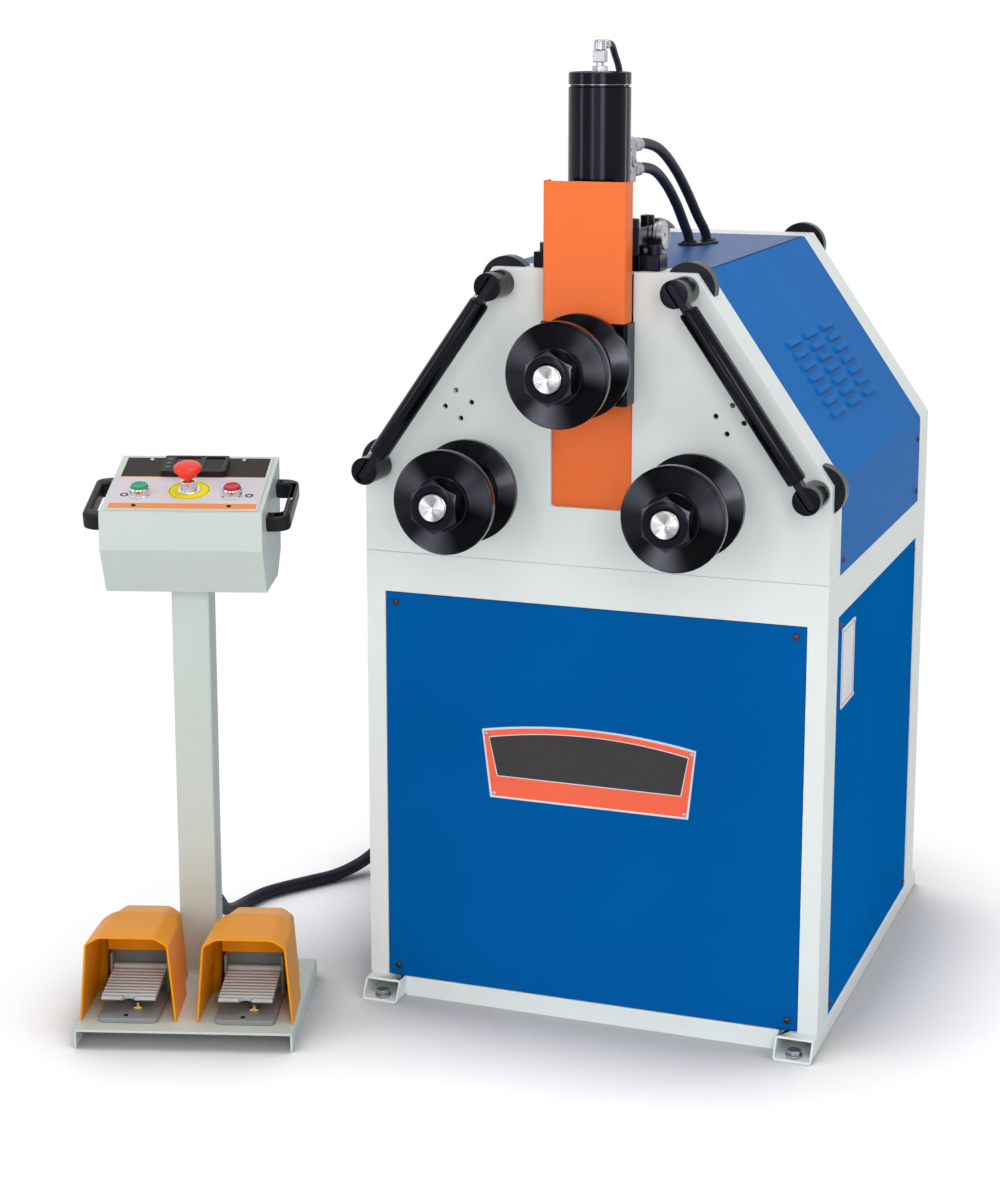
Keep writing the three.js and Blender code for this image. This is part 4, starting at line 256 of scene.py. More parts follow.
CHROME = finish("chrome", "bright_steel", (226, 227, 231), (206, 208, 214), 0.09, metal=1.0, grain=200,
                bump=0.01, swing=0.06)
ZINC = finish("zinc_plate", "zinc", (196, 197, 204), (150, 152, 162), 0.3, metal=1.0, grain=200, bump=0.01,
              blotch=6, swing=0.03)
BRASS = finish("brass", "zinc", (226, 206, 140), (196, 172, 104), 0.25, grain=400, **STEEL)
FASTENER = finish("dark_fastener", "black_steel", (84, 60, 72), (62, 44, 56), 0.3, metal=0.85, bump=0.05)
VALVE_GREY = finish("valve_grey", "zinc", (178, 175, 184), (158, 155, 166), 0.42, 0.2, metal=0.2, grain=240,
                    bump=0.12, blotch=20)
DARK_CASTING = finish("cast_grey", "cast_grey", (116, 118, 124), (96, 98, 104), 0.6, metal=0.2, grain=180,
                      bump=0.35)
TREAD_METAL = finish("tread_aluminium", "zinc", (188, 191, 193), (164, 167, 170), 0.4, metal=0.1, grain=260,
                     bump=0.04, stretch=(3, 1, 1))
PLATE_METAL = finish("brushed_plate", "bright_steel", (206, 208, 214), (184, 187, 194), 0.32, metal=0.9,
                     grain=260, bump=0.12, stretch=(1, 1, 12))
SWITCH_GREY = finish("switch_grey", "guard_yellow", (122, 128, 128), (108, 114, 114), 0.45, 0.2, grain=300,
                     bump=0.15)
SOLE_METAL = finish("sole_aluminium", "guard_yellow", (150, 151, 152), (132, 133, 134), 0.45, 0.2, grain=200,
                    bump=0.1)
RUBBER = finish("hose_rubber", "hose_rubber", (38, 39, 50), (29, 30, 40), 0.5, 0.2, grain=600, bump=0.1)
BLACK_PLASTIC = finish("black_plastic", "black_plastic", (24, 24, 27), (18, 18, 21), 0.36, 0.2, grain=900,
                       bump=0.08)
RED_PLASTIC = finish("red_plastic", "button_red", (240, 60, 44), (230, 50, 36), 0.25, 0.3)
DARK_RED_PLASTIC = finish("dark_red_plastic", "button_dark_red", (198, 26, 42), (184, 20, 34), 0.22, 0.3)
GREEN_PLASTIC = finish("green_plastic", "button_green", (30, 158, 104), (22, 146, 94), 0.22, 0.3)
SIGNAL_YELLOW = finish("signal_yellow", "panel_aluminium", (244, 228, 10), (238, 220, 6), 0.45, 0.2)
FOIL = {"grain": 900, "bump": 0.04}
FOIL_BROWN = finish("foil_brown", "panel_aluminium", (58, 50, 47), (50, 43, 41), 0.4, 0.05, **FOIL)
FOIL_LILAC = finish("foil_lilac", "panel_aluminium", (216, 208, 215), (210, 202, 209), 0.4, 0.1, **FOIL)
FOIL_ORANGE = finish("foil_orange", "panel_aluminium", (240, 150, 88), (233, 144, 82), 0.4, 0.05, **FOIL)
DISPLAY_KEY = finish("display_key", "black_plastic", (78, 88, 94), (66, 76, 82), 0.4, 0.2, grain=60)
SCREEN_RED = finish("screen_red", "black_plastic", (70, 22, 30), (54, 16, 24), 0.1, 0.15, grain=60, bump=0.0)
SCREEN_BLACK = finish("screen_black", "black_plastic", (20, 18, 22), (14, 13, 17), 0.1, 0.12, grain=60,
                      bump=0.0)
DIAL_WHITE = finish("dial_white", "zinc", (236, 236, 230), (228, 228, 222), 0.6, grain=60)
BADGE_DARK = finish("badge_dark", "bright_steel", (34, 30, 34), (26, 23, 28), 0.3, bump=0.04)
BADGE_ORANGE = finish("badge_orange", "bright_steel", (244, 98, 62), (238, 92, 56), 0.32, bump=0.04)
GLASS = shaded("gauge_glass", {"Transmission Weight": 1, "Roughness": 0.04, "IOR": 1.12})
print("finishes:", len(bpy.data.materials))


# %% [markdown]
# ## The control cord
# A 22 mm rubber cord leaves the foot of the stand's post, drops to the floor, runs back along the
# cabinet and climbs to a gland on its left side. A centripetal Catmull-Rom curve through a few
# given points gives it one smooth line, and a ring of points is swept along that line.

# %% Helper: a smooth line through points
def smooth_line(points, count):
    """A centripetal Catmull-Rom curve, sampled evenly in its parameter."""
    stops = [Vector(p) for p in points]
    last = len(stops) - 1
    line = []
    for k in range(count + 1):
        place = last * k / count
        i = min(int(place), last - 1)
        w = place - i
        p1, p2 = stops[i], stops[i + 1]
        p0 = stops[i - 1] if i else 2 * p1 - p2
        p3 = stops[i + 2] if i + 2 <= last else 2 * p2 - p1
        d0, d1, d2 = (max((b - a).length ** 0.5, 1e-9) for a, b in ((p0, p1), (p1, p2), (p2, p3)))
        t1 = ((p1 - p0) / d0 - (p2 - p0) / (d0 + d1) + (p2 - p1) / d1) * d1
        t2 = ((p2 - p1) / d1 - (p3 - p1) / (d1 + d2) + (p3 - p2) / d2) * d1
        line.append(p1 + t1 * w + (3 * (p2 - p1) - 2 * t1 - t2) * w**2 + (2 * (p1 - p2) + t1 + t2) * w**3)
    return line


def length_of(line):
    return sum((b - a).length for a, b in zip(line, line[1:]))


def swept(line, radius, sides=20):
    """A tube along a line, its rings turned as little as possible from one to the next. radius is
    one number, or a list with one for each point."""
    bm = bmesh.new()
    rings = []
    side = None
    for i, point in enumerate(line):
        ahead = (line[min(i + 1, len(line) - 1)] - line[max(i - 1, 0)]).normalized()
        side = ahead.orthogonal().normalized() if side is None else side
        side = (side - ahead * side.dot(ahead)).normalized()
        other = ahead.cross(side)
        r = radius[i] if isinstance(radius, list) else radius
        angles = [2 * math.pi * k / sides for k in range(sides)]
        rings.append([bm.verts.new(point + r * (math.cos(a) * side + math.sin(a) * other)) for a in angles])
    for one, two in zip(rings, rings[1:]):
        for k in range(sides):
            bm.faces.new((one[k], one[(k + 1) % sides], two[(k + 1) % sides], two[k]))
    bm.faces.new(reversed(rings[0]))
    bm.faces.new(rings[-1])
    bmesh.ops.recalc_face_normals(bm, faces=bm.faces)
    return bm


def tube(name, line, radius, sides, look, *nodes):
    return mount(piece_from(name, swept(line, radius, sides), look, angle=60), *nodes)


# %% Control cord
CORD_D, CORD_REST = 22, 0.0115
GLAND_REACH, GLAND_EXIT = 0.0423, 0.064
POST_U, POST_V, POST_HALF = -14, 114, 30
STAND_GLAND, CABINET_GLAND = (POST_U, 144.3, 95), (-364.3, 600, 140)
CORD_SHARES = ((-0.06, 0.085, 0.596), (-0.133, 0.16, 0.425), (-0.193, 0.234, 0.207), (-0.227, 0.321, 0.052),
               (-0.231, 0.411, 0.001), (-0.188, 0.498, 0), (-0.094, 0.57, 0), (0.03, 0.645, 0),
               (0.163, 0.723, 0.009), (0.299, 0.797, 0.114), (0.436, 0.863, 0.34), (0.582, 0.924, 0.596),
               (0.736, 0.965, 0.814), (0.881, 0.991, 0.955))
stand_out = (STAND.to_3x3() @ Vector((0, 1, 0))).normalized()
post_face, panel_face = STAND @ Vector(STAND_GLAND), at(*CABINET_GLAND)
cord_points = [post_face + stand_out * GLAND_REACH, post_face + stand_out * GLAND_EXIT]
cord_from, cord_to = cord_points[1], panel_face - Vector((GLAND_EXIT, 0, 0))
for across, back, up in CORD_SHARES:
    x = cord_from.x + (cord_to.x - cord_from.x) * across
    y = cord_from.y + (cord_to.y - cord_from.y) * back
    cord_points.append(Vector((x, y, CORD_REST + (cord_to.z - CORD_REST) * up)))
cord_points += [cord_to, panel_face - Vector((GLAND_REACH, 0, 0))]
cord_line = smooth_line(cord_points, 220)
cord = tube("control_cord_tube", cord_line, CORD_D / 2000, 18, RUBBER, "control_cord")


# %% [markdown]
# ## Shapes from a lathe, a sheet cutter and a mill
# Three helpers make nearly every hard piece. `turned` turns a profile round local Z, as a lathe does,
# and can make hexagons with their corners cut off by a cone. `slab` cuts a plate out of 2D loops
# with a fine bevel, as a laser and a deburring wheel do. `milled` is a block with rounded edges.
# Each also mounts its piece.

# %% Helper: places that face a way
def turn(degrees, axis):
    return Matrix.Rotation(math.radians(degrees), 4, axis)


def facing(way, x, y, z, base=MACHINE):
    """A place whose local Z points up, to the front, the back or the right or left side."""
    turns = {"up": (0, "X"), "front": (90, "X"), "back": (-90, "X"), "right": (90, "Y"), "left": (-90, "Y")}
    return base @ Matrix.Translation((x, y, z)) @ turn(*turns[way])


FRONT = facing("front", 0, 0, 0)


# %% Helper: the lathe
def hex_reach(angle):
    """How much further a hexagon reaches than the circle inside it."""
    sixth = math.pi / 6
    return 1 / math.cos((angle + sixth) % (2 * sixth) - sixth)


def spun(profile, sides=72, closed=False):
    """Turns (radius, height) points round Z. A third entry "hex" makes the ring a hexagon of that
    half width, and "crown" also cuts its corners back by a cone."""
    bm = bmesh.new()
    rings = []
    if tuple(profile[0][:2]) == tuple(profile[-1][:2]):
        profile, closed = profile[:-1], True
    for radius, height, *kind in profile:
        if radius < 1e-6:
            rings.append([bm.verts.new((0, 0, height))])
            continue
        ring = []
        for k in range(sides):
            angle = 2 * math.pi * k / sides
            reach = radius * hex_reach(angle) if kind else radius
            drop = (reach - radius) * 0.6 if kind and kind[0] == "crown" else 0
            ring.append(bm.verts.new((reach * math.cos(angle), reach * math.sin(angle), height - drop)))
        rings.append(ring)
    if closed:
        rings.append(rings[0])
    for one, two in zip(rings, rings[1:]):
        for k in range(max(len(one), len(two))):
            quad = [one[k % len(one)], one[(k + 1) % len(one)], two[(k + 1) % len(two)], two[k % len(two)]]
            corners = list(dict.fromkeys(quad))
            if len(corners) > 2:
                bm.faces.new(corners)
    bmesh.ops.recalc_face_normals(bm, faces=bm.faces)
    return bm


def eased(points, ease, closed=False, steps=3):
    """A line with its corners rounded; ease is the length that a corner takes from both its sides,
    unless a point brings its own as a third number."""
    line = [Vector(p[:2]) for p in points]
    out = []
    for i, corner in enumerate(line):
        to_last, to_next = line[i - 1] - corner, line[(i + 1) % len(line)] - corner
        own = points[i][2] if len(points[i]) > 2 else ease
        cut = min(own, 0.48 * to_last.length, 0.48 * to_next.length)
        if cut < 1e-4 or (not closed and i in (0, len(line) - 1)):
            out.append(tuple(corner))
            continue
        start, end = corner + to_last.normalized() * cut, corner + to_next.normalized() * cut
        for k in range(steps + 1):
            t = k / steps
            out.append(tuple(start * (1 - t) ** 2 + corner * 2 * t * (1 - t) + end * t * t))
    return out


def turned(name, place, profile, look, *nodes, sides=72, ease=0.0, closed=False, body="machine"):
    line = eased(profile, ease, closed) if ease else profile
    return mount(piece_from(name, spun(line, sides, closed), look, place), *nodes, body=body)


# %% Helper: the sheet cutter
def box_loop(x, y, corner=0.0):
    loop = [(x[0], y[0]), (x[1], y[0]), (x[1], y[1]), (x[0], y[1])]
    return eased(loop, corner, closed=True, steps=5) if corner else loop


def arc(x, y, radius, start, sweep, steps):
    angles = [start + sweep * k / steps for k in range(steps + 1)]
    return [(x + radius * math.cos(a), y + radius * math.sin(a)) for a in angles]


def round_loop(x, y, radius, sides=32):
    return arc(x, y, radius, 0, 2 * math.pi, sides)[:-1]


def slab(name, loops, low, high, edge, look, place, *nodes, body="machine", slot=None):
    """A plate between two heights: the first loop is its outline and the others are its holes."""
    curve = bpy.data.curves.new(name, "CURVE")
    curve.dimensions, curve.fill_mode = "2D", "BOTH"
    curve.extrude = (high - low) / 2 - edge
    curve.bevel_depth, curve.bevel_resolution, curve.offset = edge, 1, -edge
    for loop in loops:
        spline = curve.splines.new("POLY")
        spline.points.add(len(loop) - 1)
        for point, (x, y) in zip(spline.points, loop):
            point.co = (x, y, 0, 1)
        spline.use_cyclic_u = True
    plain = bake(linked(name, curve))
    bm = bmesh.new()
    bm.from_mesh(plain.data)
    bpy.data.objects.remove(plain)
    bmesh.ops.remove_doubles(bm, verts=bm.verts, dist=1e-3)
    bmesh.ops.translate(bm, verts=bm.verts, vec=(0, 0, (low + high) / 2))
    bmesh.ops.recalc_face_normals(bm, faces=bm.faces)
    return mount(creased(piece_from(name, bm, look, place), 50), *nodes, body=body, slot=slot)


# %% Helper: the mill and the file
def milled(name, x, y, z, edge, look, *nodes, place=MACHINE, body="machine"):
    bm = bmesh.new()
    bmesh.ops.create_cube(bm, size=1)
    for v in bm.verts:
        v.co = Vector([pair[0] + (pair[1] - pair[0]) * (c + 0.5) for pair, c in zip((x, y, z), v.co)])
    bmesh.ops.bevel(bm, geom=list(bm.edges), offset=edge, segments=3, profile=0.5, affect="EDGES")
    bmesh.ops.recalc_face_normals(bm, faces=bm.faces)
    return mount(creased(piece_from(name, bm, look, place), 50), *nodes, body=body)


def softened(node, edge, look, segments=2, body="machine"):
    """A copy of a solid whose sharp edges are broken by a small bevel, so that they catch light."""
    bm = bmesh.new()
    bm.from_mesh(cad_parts[node].data)
    bmesh.ops.remove_doubles(bm, verts=bm.verts, dist=2e-6)
    bmesh.ops.dissolve_limit(bm, angle_limit=math.radians(1), verts=bm.verts, edges=bm.edges)
    piece = modified(piece_from(node + "_finished", bm, look), "BEVEL", width=edge / 1000, segments=segments,
                     angle_limit=math.radians(30), use_clamp_overlap=False, harden_normals=True)
    return mount(bake(piece), node, body=body)


print("helpers ready")


# %% [markdown]
# ## Fasteners by Geometry Nodes
# A machine shows the same few screws many times. One screw is turned on the lathe, and a node tree
# sets a copy on every point of a mesh. Each point carries the way its screw faces. The tree turns
# each copy by a seeded random angle, because nobody lines up the sockets of real screws.

# %% Helper: a tree and a mesh that it grows on
def node_tree(name, **inputs):
    """An empty geometry tree with its outer sockets, and the sockets that bring its inputs."""
    tree = bpy.data.node_groups.new(name, "GeometryNodeTree")
    for label, kind in inputs.items():
        tree.interface.new_socket(label, in_out="INPUT", socket_type="NodeSocket" + kind)
    tree.interface.new_socket("Result", in_out="OUTPUT", socket_type="NodeSocketGeometry")
    return tree, tree.nodes.new("NodeGroupInput").outputs


def copies_out(tree, points, pattern, **inputs):
    """Ends a tree with real copies of a pattern on its points."""
    piece = wired(tree, "GeometryNodeObjectInfo", {"Object": pattern}, out="Geometry")
    copies = wired(tree, "GeometryNodeInstanceOnPoints", {"Points": points, "Instance": piece, **inputs})
    real = wired(tree, "GeometryNodeRealizeInstances", {"Geometry": copies})
    feed(tree.nodes.new("NodeGroupOutput").inputs["Result"], real)


def grown(name, mesh, tree, look, angle, **values):
    """Runs a tree on a mesh and keeps what it makes as a plain piece with one finish."""
    holder = modified(linked(name, mesh), "NODES", node_group=tree)
    for item in tree.interface.items_tree:
        if item.name in values:
            holder.modifiers[0][item.identifier] = values[item.name]
    plain = bake(holder)
    plain.data.materials.clear()
    plain.data.materials.append(look)
    return smooth(plain, angle)


# %% The scattering tree
SCATTER, given = node_tree("set_fasteners", Points="Geometry", Fastener="Object", Seed="Int")
way = wired(SCATTER, "GeometryNodeInputNamedAttribute", {"Name": "way"}, data_type="FLOAT_VECTOR")
aim = wired(SCATTER, "FunctionNodeAlignRotationToVector", {"Vector": way}, axis="Z")
chance = wired(SCATTER, "FunctionNodeRandomValue", {3: 2 * math.pi, "Seed": given["Seed"]}, out=1,
               data_type="FLOAT")
spin = wired(SCATTER, "FunctionNodeAxisAngleToRotation", {"Axis": (0, 0, 1), "Angle": chance})
both = wired(SCATTER, "FunctionNodeRotateRotation", {"Rotation": aim, "Rotate By": spin},
             rotation_space="LOCAL")
copies_out(SCATTER, given["Points"], given["Fastener"], Rotation=both)
print("nodes that set fasteners:", len(SCATTER.nodes))


def fasteners(name, screw, places, look, seed):
    """Sets a screw at every (point, way) pair, both in the frame's metres."""
    mesh = bpy.data.meshes.new(name)
    mesh.from_pydata([tuple(point) for point, way in places], [], [])
    ways = mesh.attributes.new("way", "FLOAT_VECTOR", "POINT")
    for item, (point, way) in zip(ways.data, places):
        item.vector = way
    print(name, "holds", len(places), "fasteners")
    return mount(grown(name, mesh, SCATTER, look, 32, Fastener=screw, Seed=seed))


# %% Screws on the lathe
PATTERNS = []


def pattern(piece):
    """A piece that a tree copies; it is hidden itself and removed at the end."""
    piece.hide_render = True
    PATTERNS.append(piece)
    return piece


def pattern_screw(name, profile, look, sides=36):
    return pattern(piece_from(name, spun(profile, sides), look, METRES))


PAN_SCREW = pattern_screw("pan_screw", [
    (0, -1), (5.4, -1), (5.4, 0.7), (5.1, 1.9), (4.2, 2.9), (2.9, 3.4), (1.9, 3.5, "hex"), (1.7, 1.6, "hex"),
    (0, 1.3)], FASTENER)
CAP_SCREW = pattern_screw("cap_screw", [(0, -2), (10.6, -2), (10.6, 11.6), (9.8, 12.6), (6.4, 12.9),
                                        (5.4, 12.2, "hex"), (5.2, 6.5, "hex"), (0, 5.6)], BLACK_SATIN)
HEX_BOLT = pattern_screw("hex_bolt", [
    (0, -0.5), (12.5, -0.5), (12.8, 0.2), (12.8, 1.4), (12.2, 2.2), (9.4, 2.3), (9.5, 2.6, "hex"),
    (9.5, 8.4, "hex"), (9.3, 9.2, "crown"), (8.7, 9.4), (5.5, 9.0), (0, 9.0)], ZINC)
SMALL_SCREW = pattern_screw("small_screw", [(0, -0.6), (3.6, -0.6), (3.6, 0.3), (3.3, 1.1), (2.6, 1.7),
                                            (1.7, 2), (1.3, 2.0, "hex"), (1.2, 0.9, "hex"), (0, 0.8)],
                            BLACK_SATIN, 24)
print("patterns:", [screw.name for screw in PATTERNS])


# %% [markdown]
# ## The lower frame
# The cabinet stands on two square tubes with mitred ends, welded to four upright tubes and flat
# rails. Its solid is already exact, so a copy of it gets broken edges, and weld beads are laid where
# the uprights meet the skids. A bead is a row of overlapping lenses, as a welder leaves it.

# %% Frame and its welds
softened("base_frame", 1.1, WHITE_PAINT)


def weld_bead(name, start, end, radius, swell, look, pitch=2.6):
    """A weld along a straight joint: its section swells and shrinks at every ripple."""
    count = int((end - start).length * 1000 / pitch * 4)
    line = [start + (end - start) * k / count for k in range(count + 1)]
    sizes = [radius * (1 - swell + swell * math.cos(math.pi * k / 2)) / 1000 for k in range(count + 1)]
    sizes[0] = sizes[-1] = radius / 3000
    tube(name, line, sizes, 8, look)


for tag, side in SIDES:
    for end, (y0, y1) in (("front", (3, 69)), ("rear", (686, 752))):
        x = side * (HALF_W - 31)
        weld_bead(f"skid_weld_{tag}_{end}", at(x, y0, 33), at(x, y1, 33), 2.6, 0.12, WHITE_PAINT)
bolt_places = [(at(side * (HALF_W - 30), y, 5.2), UP) for side in (-1, 1) for y in (-22, 777)]
fasteners("skid_bolts", HEX_BOLT, bolt_places, ZINC, 3)


# %% [markdown]
# ## The upper housing
# A thick plate carries the shafts and the sliding block. It has an open slot in its middle, four
# small holes on each side and bores for the shafts and pegs. A flange of flat bar is welded all
# round behind it. Both come from the sheet cutter, with fine round holes.

# %% Housing outline
SHOULDER_Z, TOP_Z, TOP_HALF, BAND = 872.6, 1173.5, 156.5, 5
ROLL_X, ROLL_Z, TOP_ROLL_Z = 174.4, 843.6, 1039.4
LOW_PEG, HIGH_PEG = (342.2, 862.3), (142.4, 1150)
SLOT_HALF, SLOT_Z = 63.35, 816.6
FOOT_Z = SEAM_Z + 0.3
RIGHT_LINE = [(HALF_W, FOOT_Z), (HALF_W, SHOULDER_Z), (TOP_HALF, TOP_Z)]
slope = Vector((TOP_HALF - HALF_W, TOP_Z - SHOULDER_Z))
slope_way, slope_length = slope.normalized(), slope.length


def mirrored(loop):
    return [(-x, z) for x, z in reversed(loop)]


def housing_band(name, y, start_x):
    """The two halves of the flat bar round the housing, each from its foot to start_x at the top."""
    start = Vector((HALF_W, SHOULDER_Z)) + Vector((-slope_way.y, slope_way.x)) * BAND
    knee = start + slope_way * ((HALF_W - BAND - start.x) / slope_way.x)
    high = start + slope_way * ((TOP_Z - BAND - start.y) / slope_way.y)
    half = [*RIGHT_LINE, (start_x, TOP_Z), (start_x, TOP_Z - BAND), tuple(high), tuple(knee),
            (HALF_W - BAND, FOOT_Z)]
    for tag, loop in (("right", half), ("left", mirrored(half))):
        slab(f"{name}_{tag}", [loop], -y[1], -y[0], 0.5, WHITE_PAINT, FRONT)


# %% Front plate and its band
corner = eased([(SLOT_HALF, TOP_Z), (SLOT_HALF, SLOT_Z), (0, SLOT_Z)], 7, steps=6)[1:-1]
right_half = [*RIGHT_LINE, (SLOT_HALF, TOP_Z)]
holes = []
for side in (-1, 1):
    holes.append(round_loop(side * ROLL_X, ROLL_Z, 34, 64))
    holes += [round_loop(side * x, z, 10.4) for x, z in (LOW_PEG, HIGH_PEG)]
    for k in range(4):
        angle = 0.6 * side + (k + 0.5) * math.pi / 2
        x, z = (30.6 / math.sqrt(2) * share for share in (math.cos(angle), math.sin(angle)))
        holes.append(round_loop(side * 211.9 + x, 963.5 + z, 4, 24))
plate_loop = right_half + corner + mirrored(corner) + mirrored(right_half)
slab("front_plate", [plate_loop, *holes], -8, 0, 0.8, WHITE_PAINT, FRONT, "front_housing")
housing_band("front_band", (7.7, 72), 31.8)
print("front plate holes:", len(holes))

# %% Rear plate, its band and its discs
rear_line = RIGHT_LINE + mirrored(RIGHT_LINE)
slab("rear_plate", [rear_line], -CAB_D, 6 - CAB_D, 0.8, WHITE_PAINT, FRONT, "rear_housing")
housing_band("rear_band", (683, 749.3), 0.2)
disc_profile = [(0, -7), (10, -7), (10, 9), (37.6, 9), (39, 10.4), (39, 29.6), (37.6, 31), (14, 31),
                (12.6, 29.6), (0, 29.6)]
for tag, side in SIDES:
    turned(f"rear_disc_{tag}", facing("back", side * 133.5, CAB_D, 1150), disc_profile, BLACK_SATIN, sides=64)

# %% [markdown]
# ## Blue sheet panels
# The lower openings are closed by shallow folded trays, screwed on at their corners. A copy of each
# tray gets rounded folds. The side panels are the same paint, but they get a lighter blue: painted
# light for the lamps that strike them at a slant.

# %% Panels
for node in ("front_panel", "rear_panel", "side_panel_left", "side_panel_right"):
    # The side panels wear the lighter copy of the blue, which is painted light.
    softened(node, 0.9, BLUE_SIDE_PAINTED_LIGHT if node.startswith("side") else BLUE_PAINT, 3)
softened("top_cover", 0.5, BLUE_TOP)

SCREW_ROWS = (32.9 + 16, 662.6 - 16)
panel_screws = []
for x in (-318, 318):
    for z in SCREW_ROWS:
        panel_screws += [(at(x, 1.7, z), Vector((0, -1, 0))), (at(x, 753.3, z), Vector((0, 1, 0)))]
for side in (-1, 1):
    out = Vector((side, 0, 0))
    panel_screws += [(at(side * 363.8, y, z), out) for y in (90, 665) for z in SCREW_ROWS]
    panel_screws += [(at(side * HALF_W, y, z), out) for y in (92, 662) for z in (748, 838)]
fasteners("panel_screws", PAN_SCREW, panel_screws, FASTENER, 11)

# %% [markdown]
# ## Side covers with louvres
# Each side is one sheet, bent at the shoulder, with three columns of seven louvres pressed into the
# slope. A louvre is a slit whose upper lip is pushed outwards. The sheet is woven from strips that
# leave the slits open, and a node tree repeats one pressed hood over the rows and columns.

# %% The bent sheet with its slits
LOUVRE_ROWS, LOUVRE_COLUMNS = 7, 3
ROW_STEP, COLUMN_STEP, FIRST_ROW = 21, 114, 82
LOUVRE_L, LOUVRE_W, LOUVRE_H = 85, 12, 5
MIDDLE_Y = 365
UPRIGHT = SHOULDER_Z - SEAM_Z - 0.3


def on_side(side, run, y):
    """A point on the outside of a side cover, run millimetres up from its foot along the sheet."""
    if run < UPRIGHT:
        return Vector((side * HALF_W, y, FOOT_Z + run))
    run -= UPRIGHT
    return Vector((side * (HALF_W + slope_way.x * run), y, SHOULDER_Z + slope_way.y * run))


def cover_sheet(tag, side):
    ys = [72.3]
    for column in range(LOUVRE_COLUMNS):
        middle = MIDDLE_Y + (column - 1) * COLUMN_STEP
        ys += [middle - LOUVRE_L / 2 + 1.2, middle + LOUVRE_L / 2 - 1.2]
    ys.append(682.7)
    runs = [0, UPRIGHT - 4, UPRIGHT - 1.6, UPRIGHT, UPRIGHT + 1.6, UPRIGHT + 4]
    slits = []
    for row in range(LOUVRE_ROWS):
        foot = UPRIGHT + FIRST_ROW + row * ROW_STEP
        slits.append(len(runs))
        runs += [foot, foot + LOUVRE_W * 0.7]
    runs.append(UPRIGHT + slope_length - 0.4)
    bm = bmesh.new()
    grid = [[bm.verts.new(on_side(side, run, y)) for y in ys] for run in runs]
    out = Vector((side * slope_way.y, 0, -slope_way.x))
    for i, dip in zip((2, 3, 4), (1.1, 1.5, 1.1)):
        for v in grid[i]:
            v.co -= (out + Vector((side, 0, 0))).normalized() * dip * 0.35
    for i in range(len(runs) - 1):
        for j in range(len(ys) - 1):
            if not (i in slits and j % 2):
                bm.faces.new((grid[i][j], grid[i][j + 1], grid[i + 1][j + 1], grid[i + 1][j]))
    bmesh.ops.recalc_face_normals(bm, faces=bm.faces)
    if bm.faces[0].normal.x * side < 0:
        bmesh.ops.reverse_faces(bm, faces=bm.faces)
    sheet = piece_from(f"side_sheet_{tag}", bm, BLUE_SLOPE, MACHINE, 50)
    sheet = creased(bake(modified(sheet, "SOLIDIFY", thickness=0.002, offset=-1)), 30)
    mount(sheet, f"side_cover_{tag}")


# %% One pressed hood
def louvre_hood():
    """A hood over a slit: local X up the slope, Y along the slit, Z out of the sheet."""
    bm = bmesh.new()
    along, across, half = 24, 8, LOUVRE_L / 2
    grid = []
    for i in range(along + 1):
        t = 2 * i / along - 1
        y = half * math.copysign(1 - (1 - abs(t)) ** 1.6, t)
        end = max(0.0, (abs(y) - half + 11) / 11)
        rise = (LOUVRE_H - 0.2) * math.sqrt(max(0.0, 1 - end * end))
        heights = [0.15 + rise * math.cos(math.pi / 2 * j / across) ** 0.8 for j in range(across + 1)]
        grid.append([bm.verts.new((LOUVRE_W * j / across, y, z)) for j, z in enumerate(heights)])
    for one, two in zip(grid, grid[1:]):
        for j in range(across):
            bm.faces.new((one[j], one[j + 1], two[j + 1], two[j]))
    bmesh.ops.recalc_face_normals(bm, faces=bm.faces)
    if sum(f.normal.z for f in bm.faces) < 0:
        bmesh.ops.reverse_faces(bm, faces=bm.faces)
    hood = piece_from("louvre_hood", bm, BLUE_SLOPE, METRES, 60)
    return pattern(smooth(bake(modified(hood, "SOLIDIFY", thickness=0.0011, offset=-1)), 50))


HOOD = louvre_hood()
print("faces of one louvre:", len(HOOD.data.polygons))

# %% The louvre tree
LOUVRES, given = node_tree("press_louvres", Sheet="Geometry", Hood="Object", Rows="Int", Columns="Int",
                           Rise="Float", Run="Float")
grid = wired(LOUVRES, "GeometryNodeMeshGrid", {"Vertices X": given["Rows"], "Vertices Y": given["Columns"],
                                               "Size X": given["Rise"], "Size Y": given["Run"]})
copies_out(LOUVRES, grid, given["Hood"])
RISE, RUN = (LOUVRE_ROWS - 1) * ROW_STEP, (LOUVRE_COLUMNS - 1) * COLUMN_STEP


def pressed_louvres(tag, side):
    rows = grown(f"louvres_{tag}", bpy.data.meshes.new("louvre_rows"), LOUVRES, BLUE_SLOPE, 50, Hood=HOOD,
                 Rows=LOUVRE_ROWS, Columns=LOUVRE_COLUMNS, Rise=RISE / 1000, Run=RUN / 1000)
    up = Vector((side * slope_way.x, 0, slope_way.y))
    out = Vector((side * slope_way.y, 0, -slope_way.x))
    place = Matrix((up, out.cross(up), out)).transposed().to_4x4()
    place.translation = ORIGIN + on_side(side, UPRIGHT + FIRST_ROW + RISE / 2, MIDDLE_Y) / 1000
    rows.data.transform(place)
    mount(rows)


for tag, side in SIDES:
    cover_sheet(tag, side)
    pressed_louvres(tag, side)
print("louvres on each side:", LOUVRE_ROWS * LOUVRE_COLUMNS)
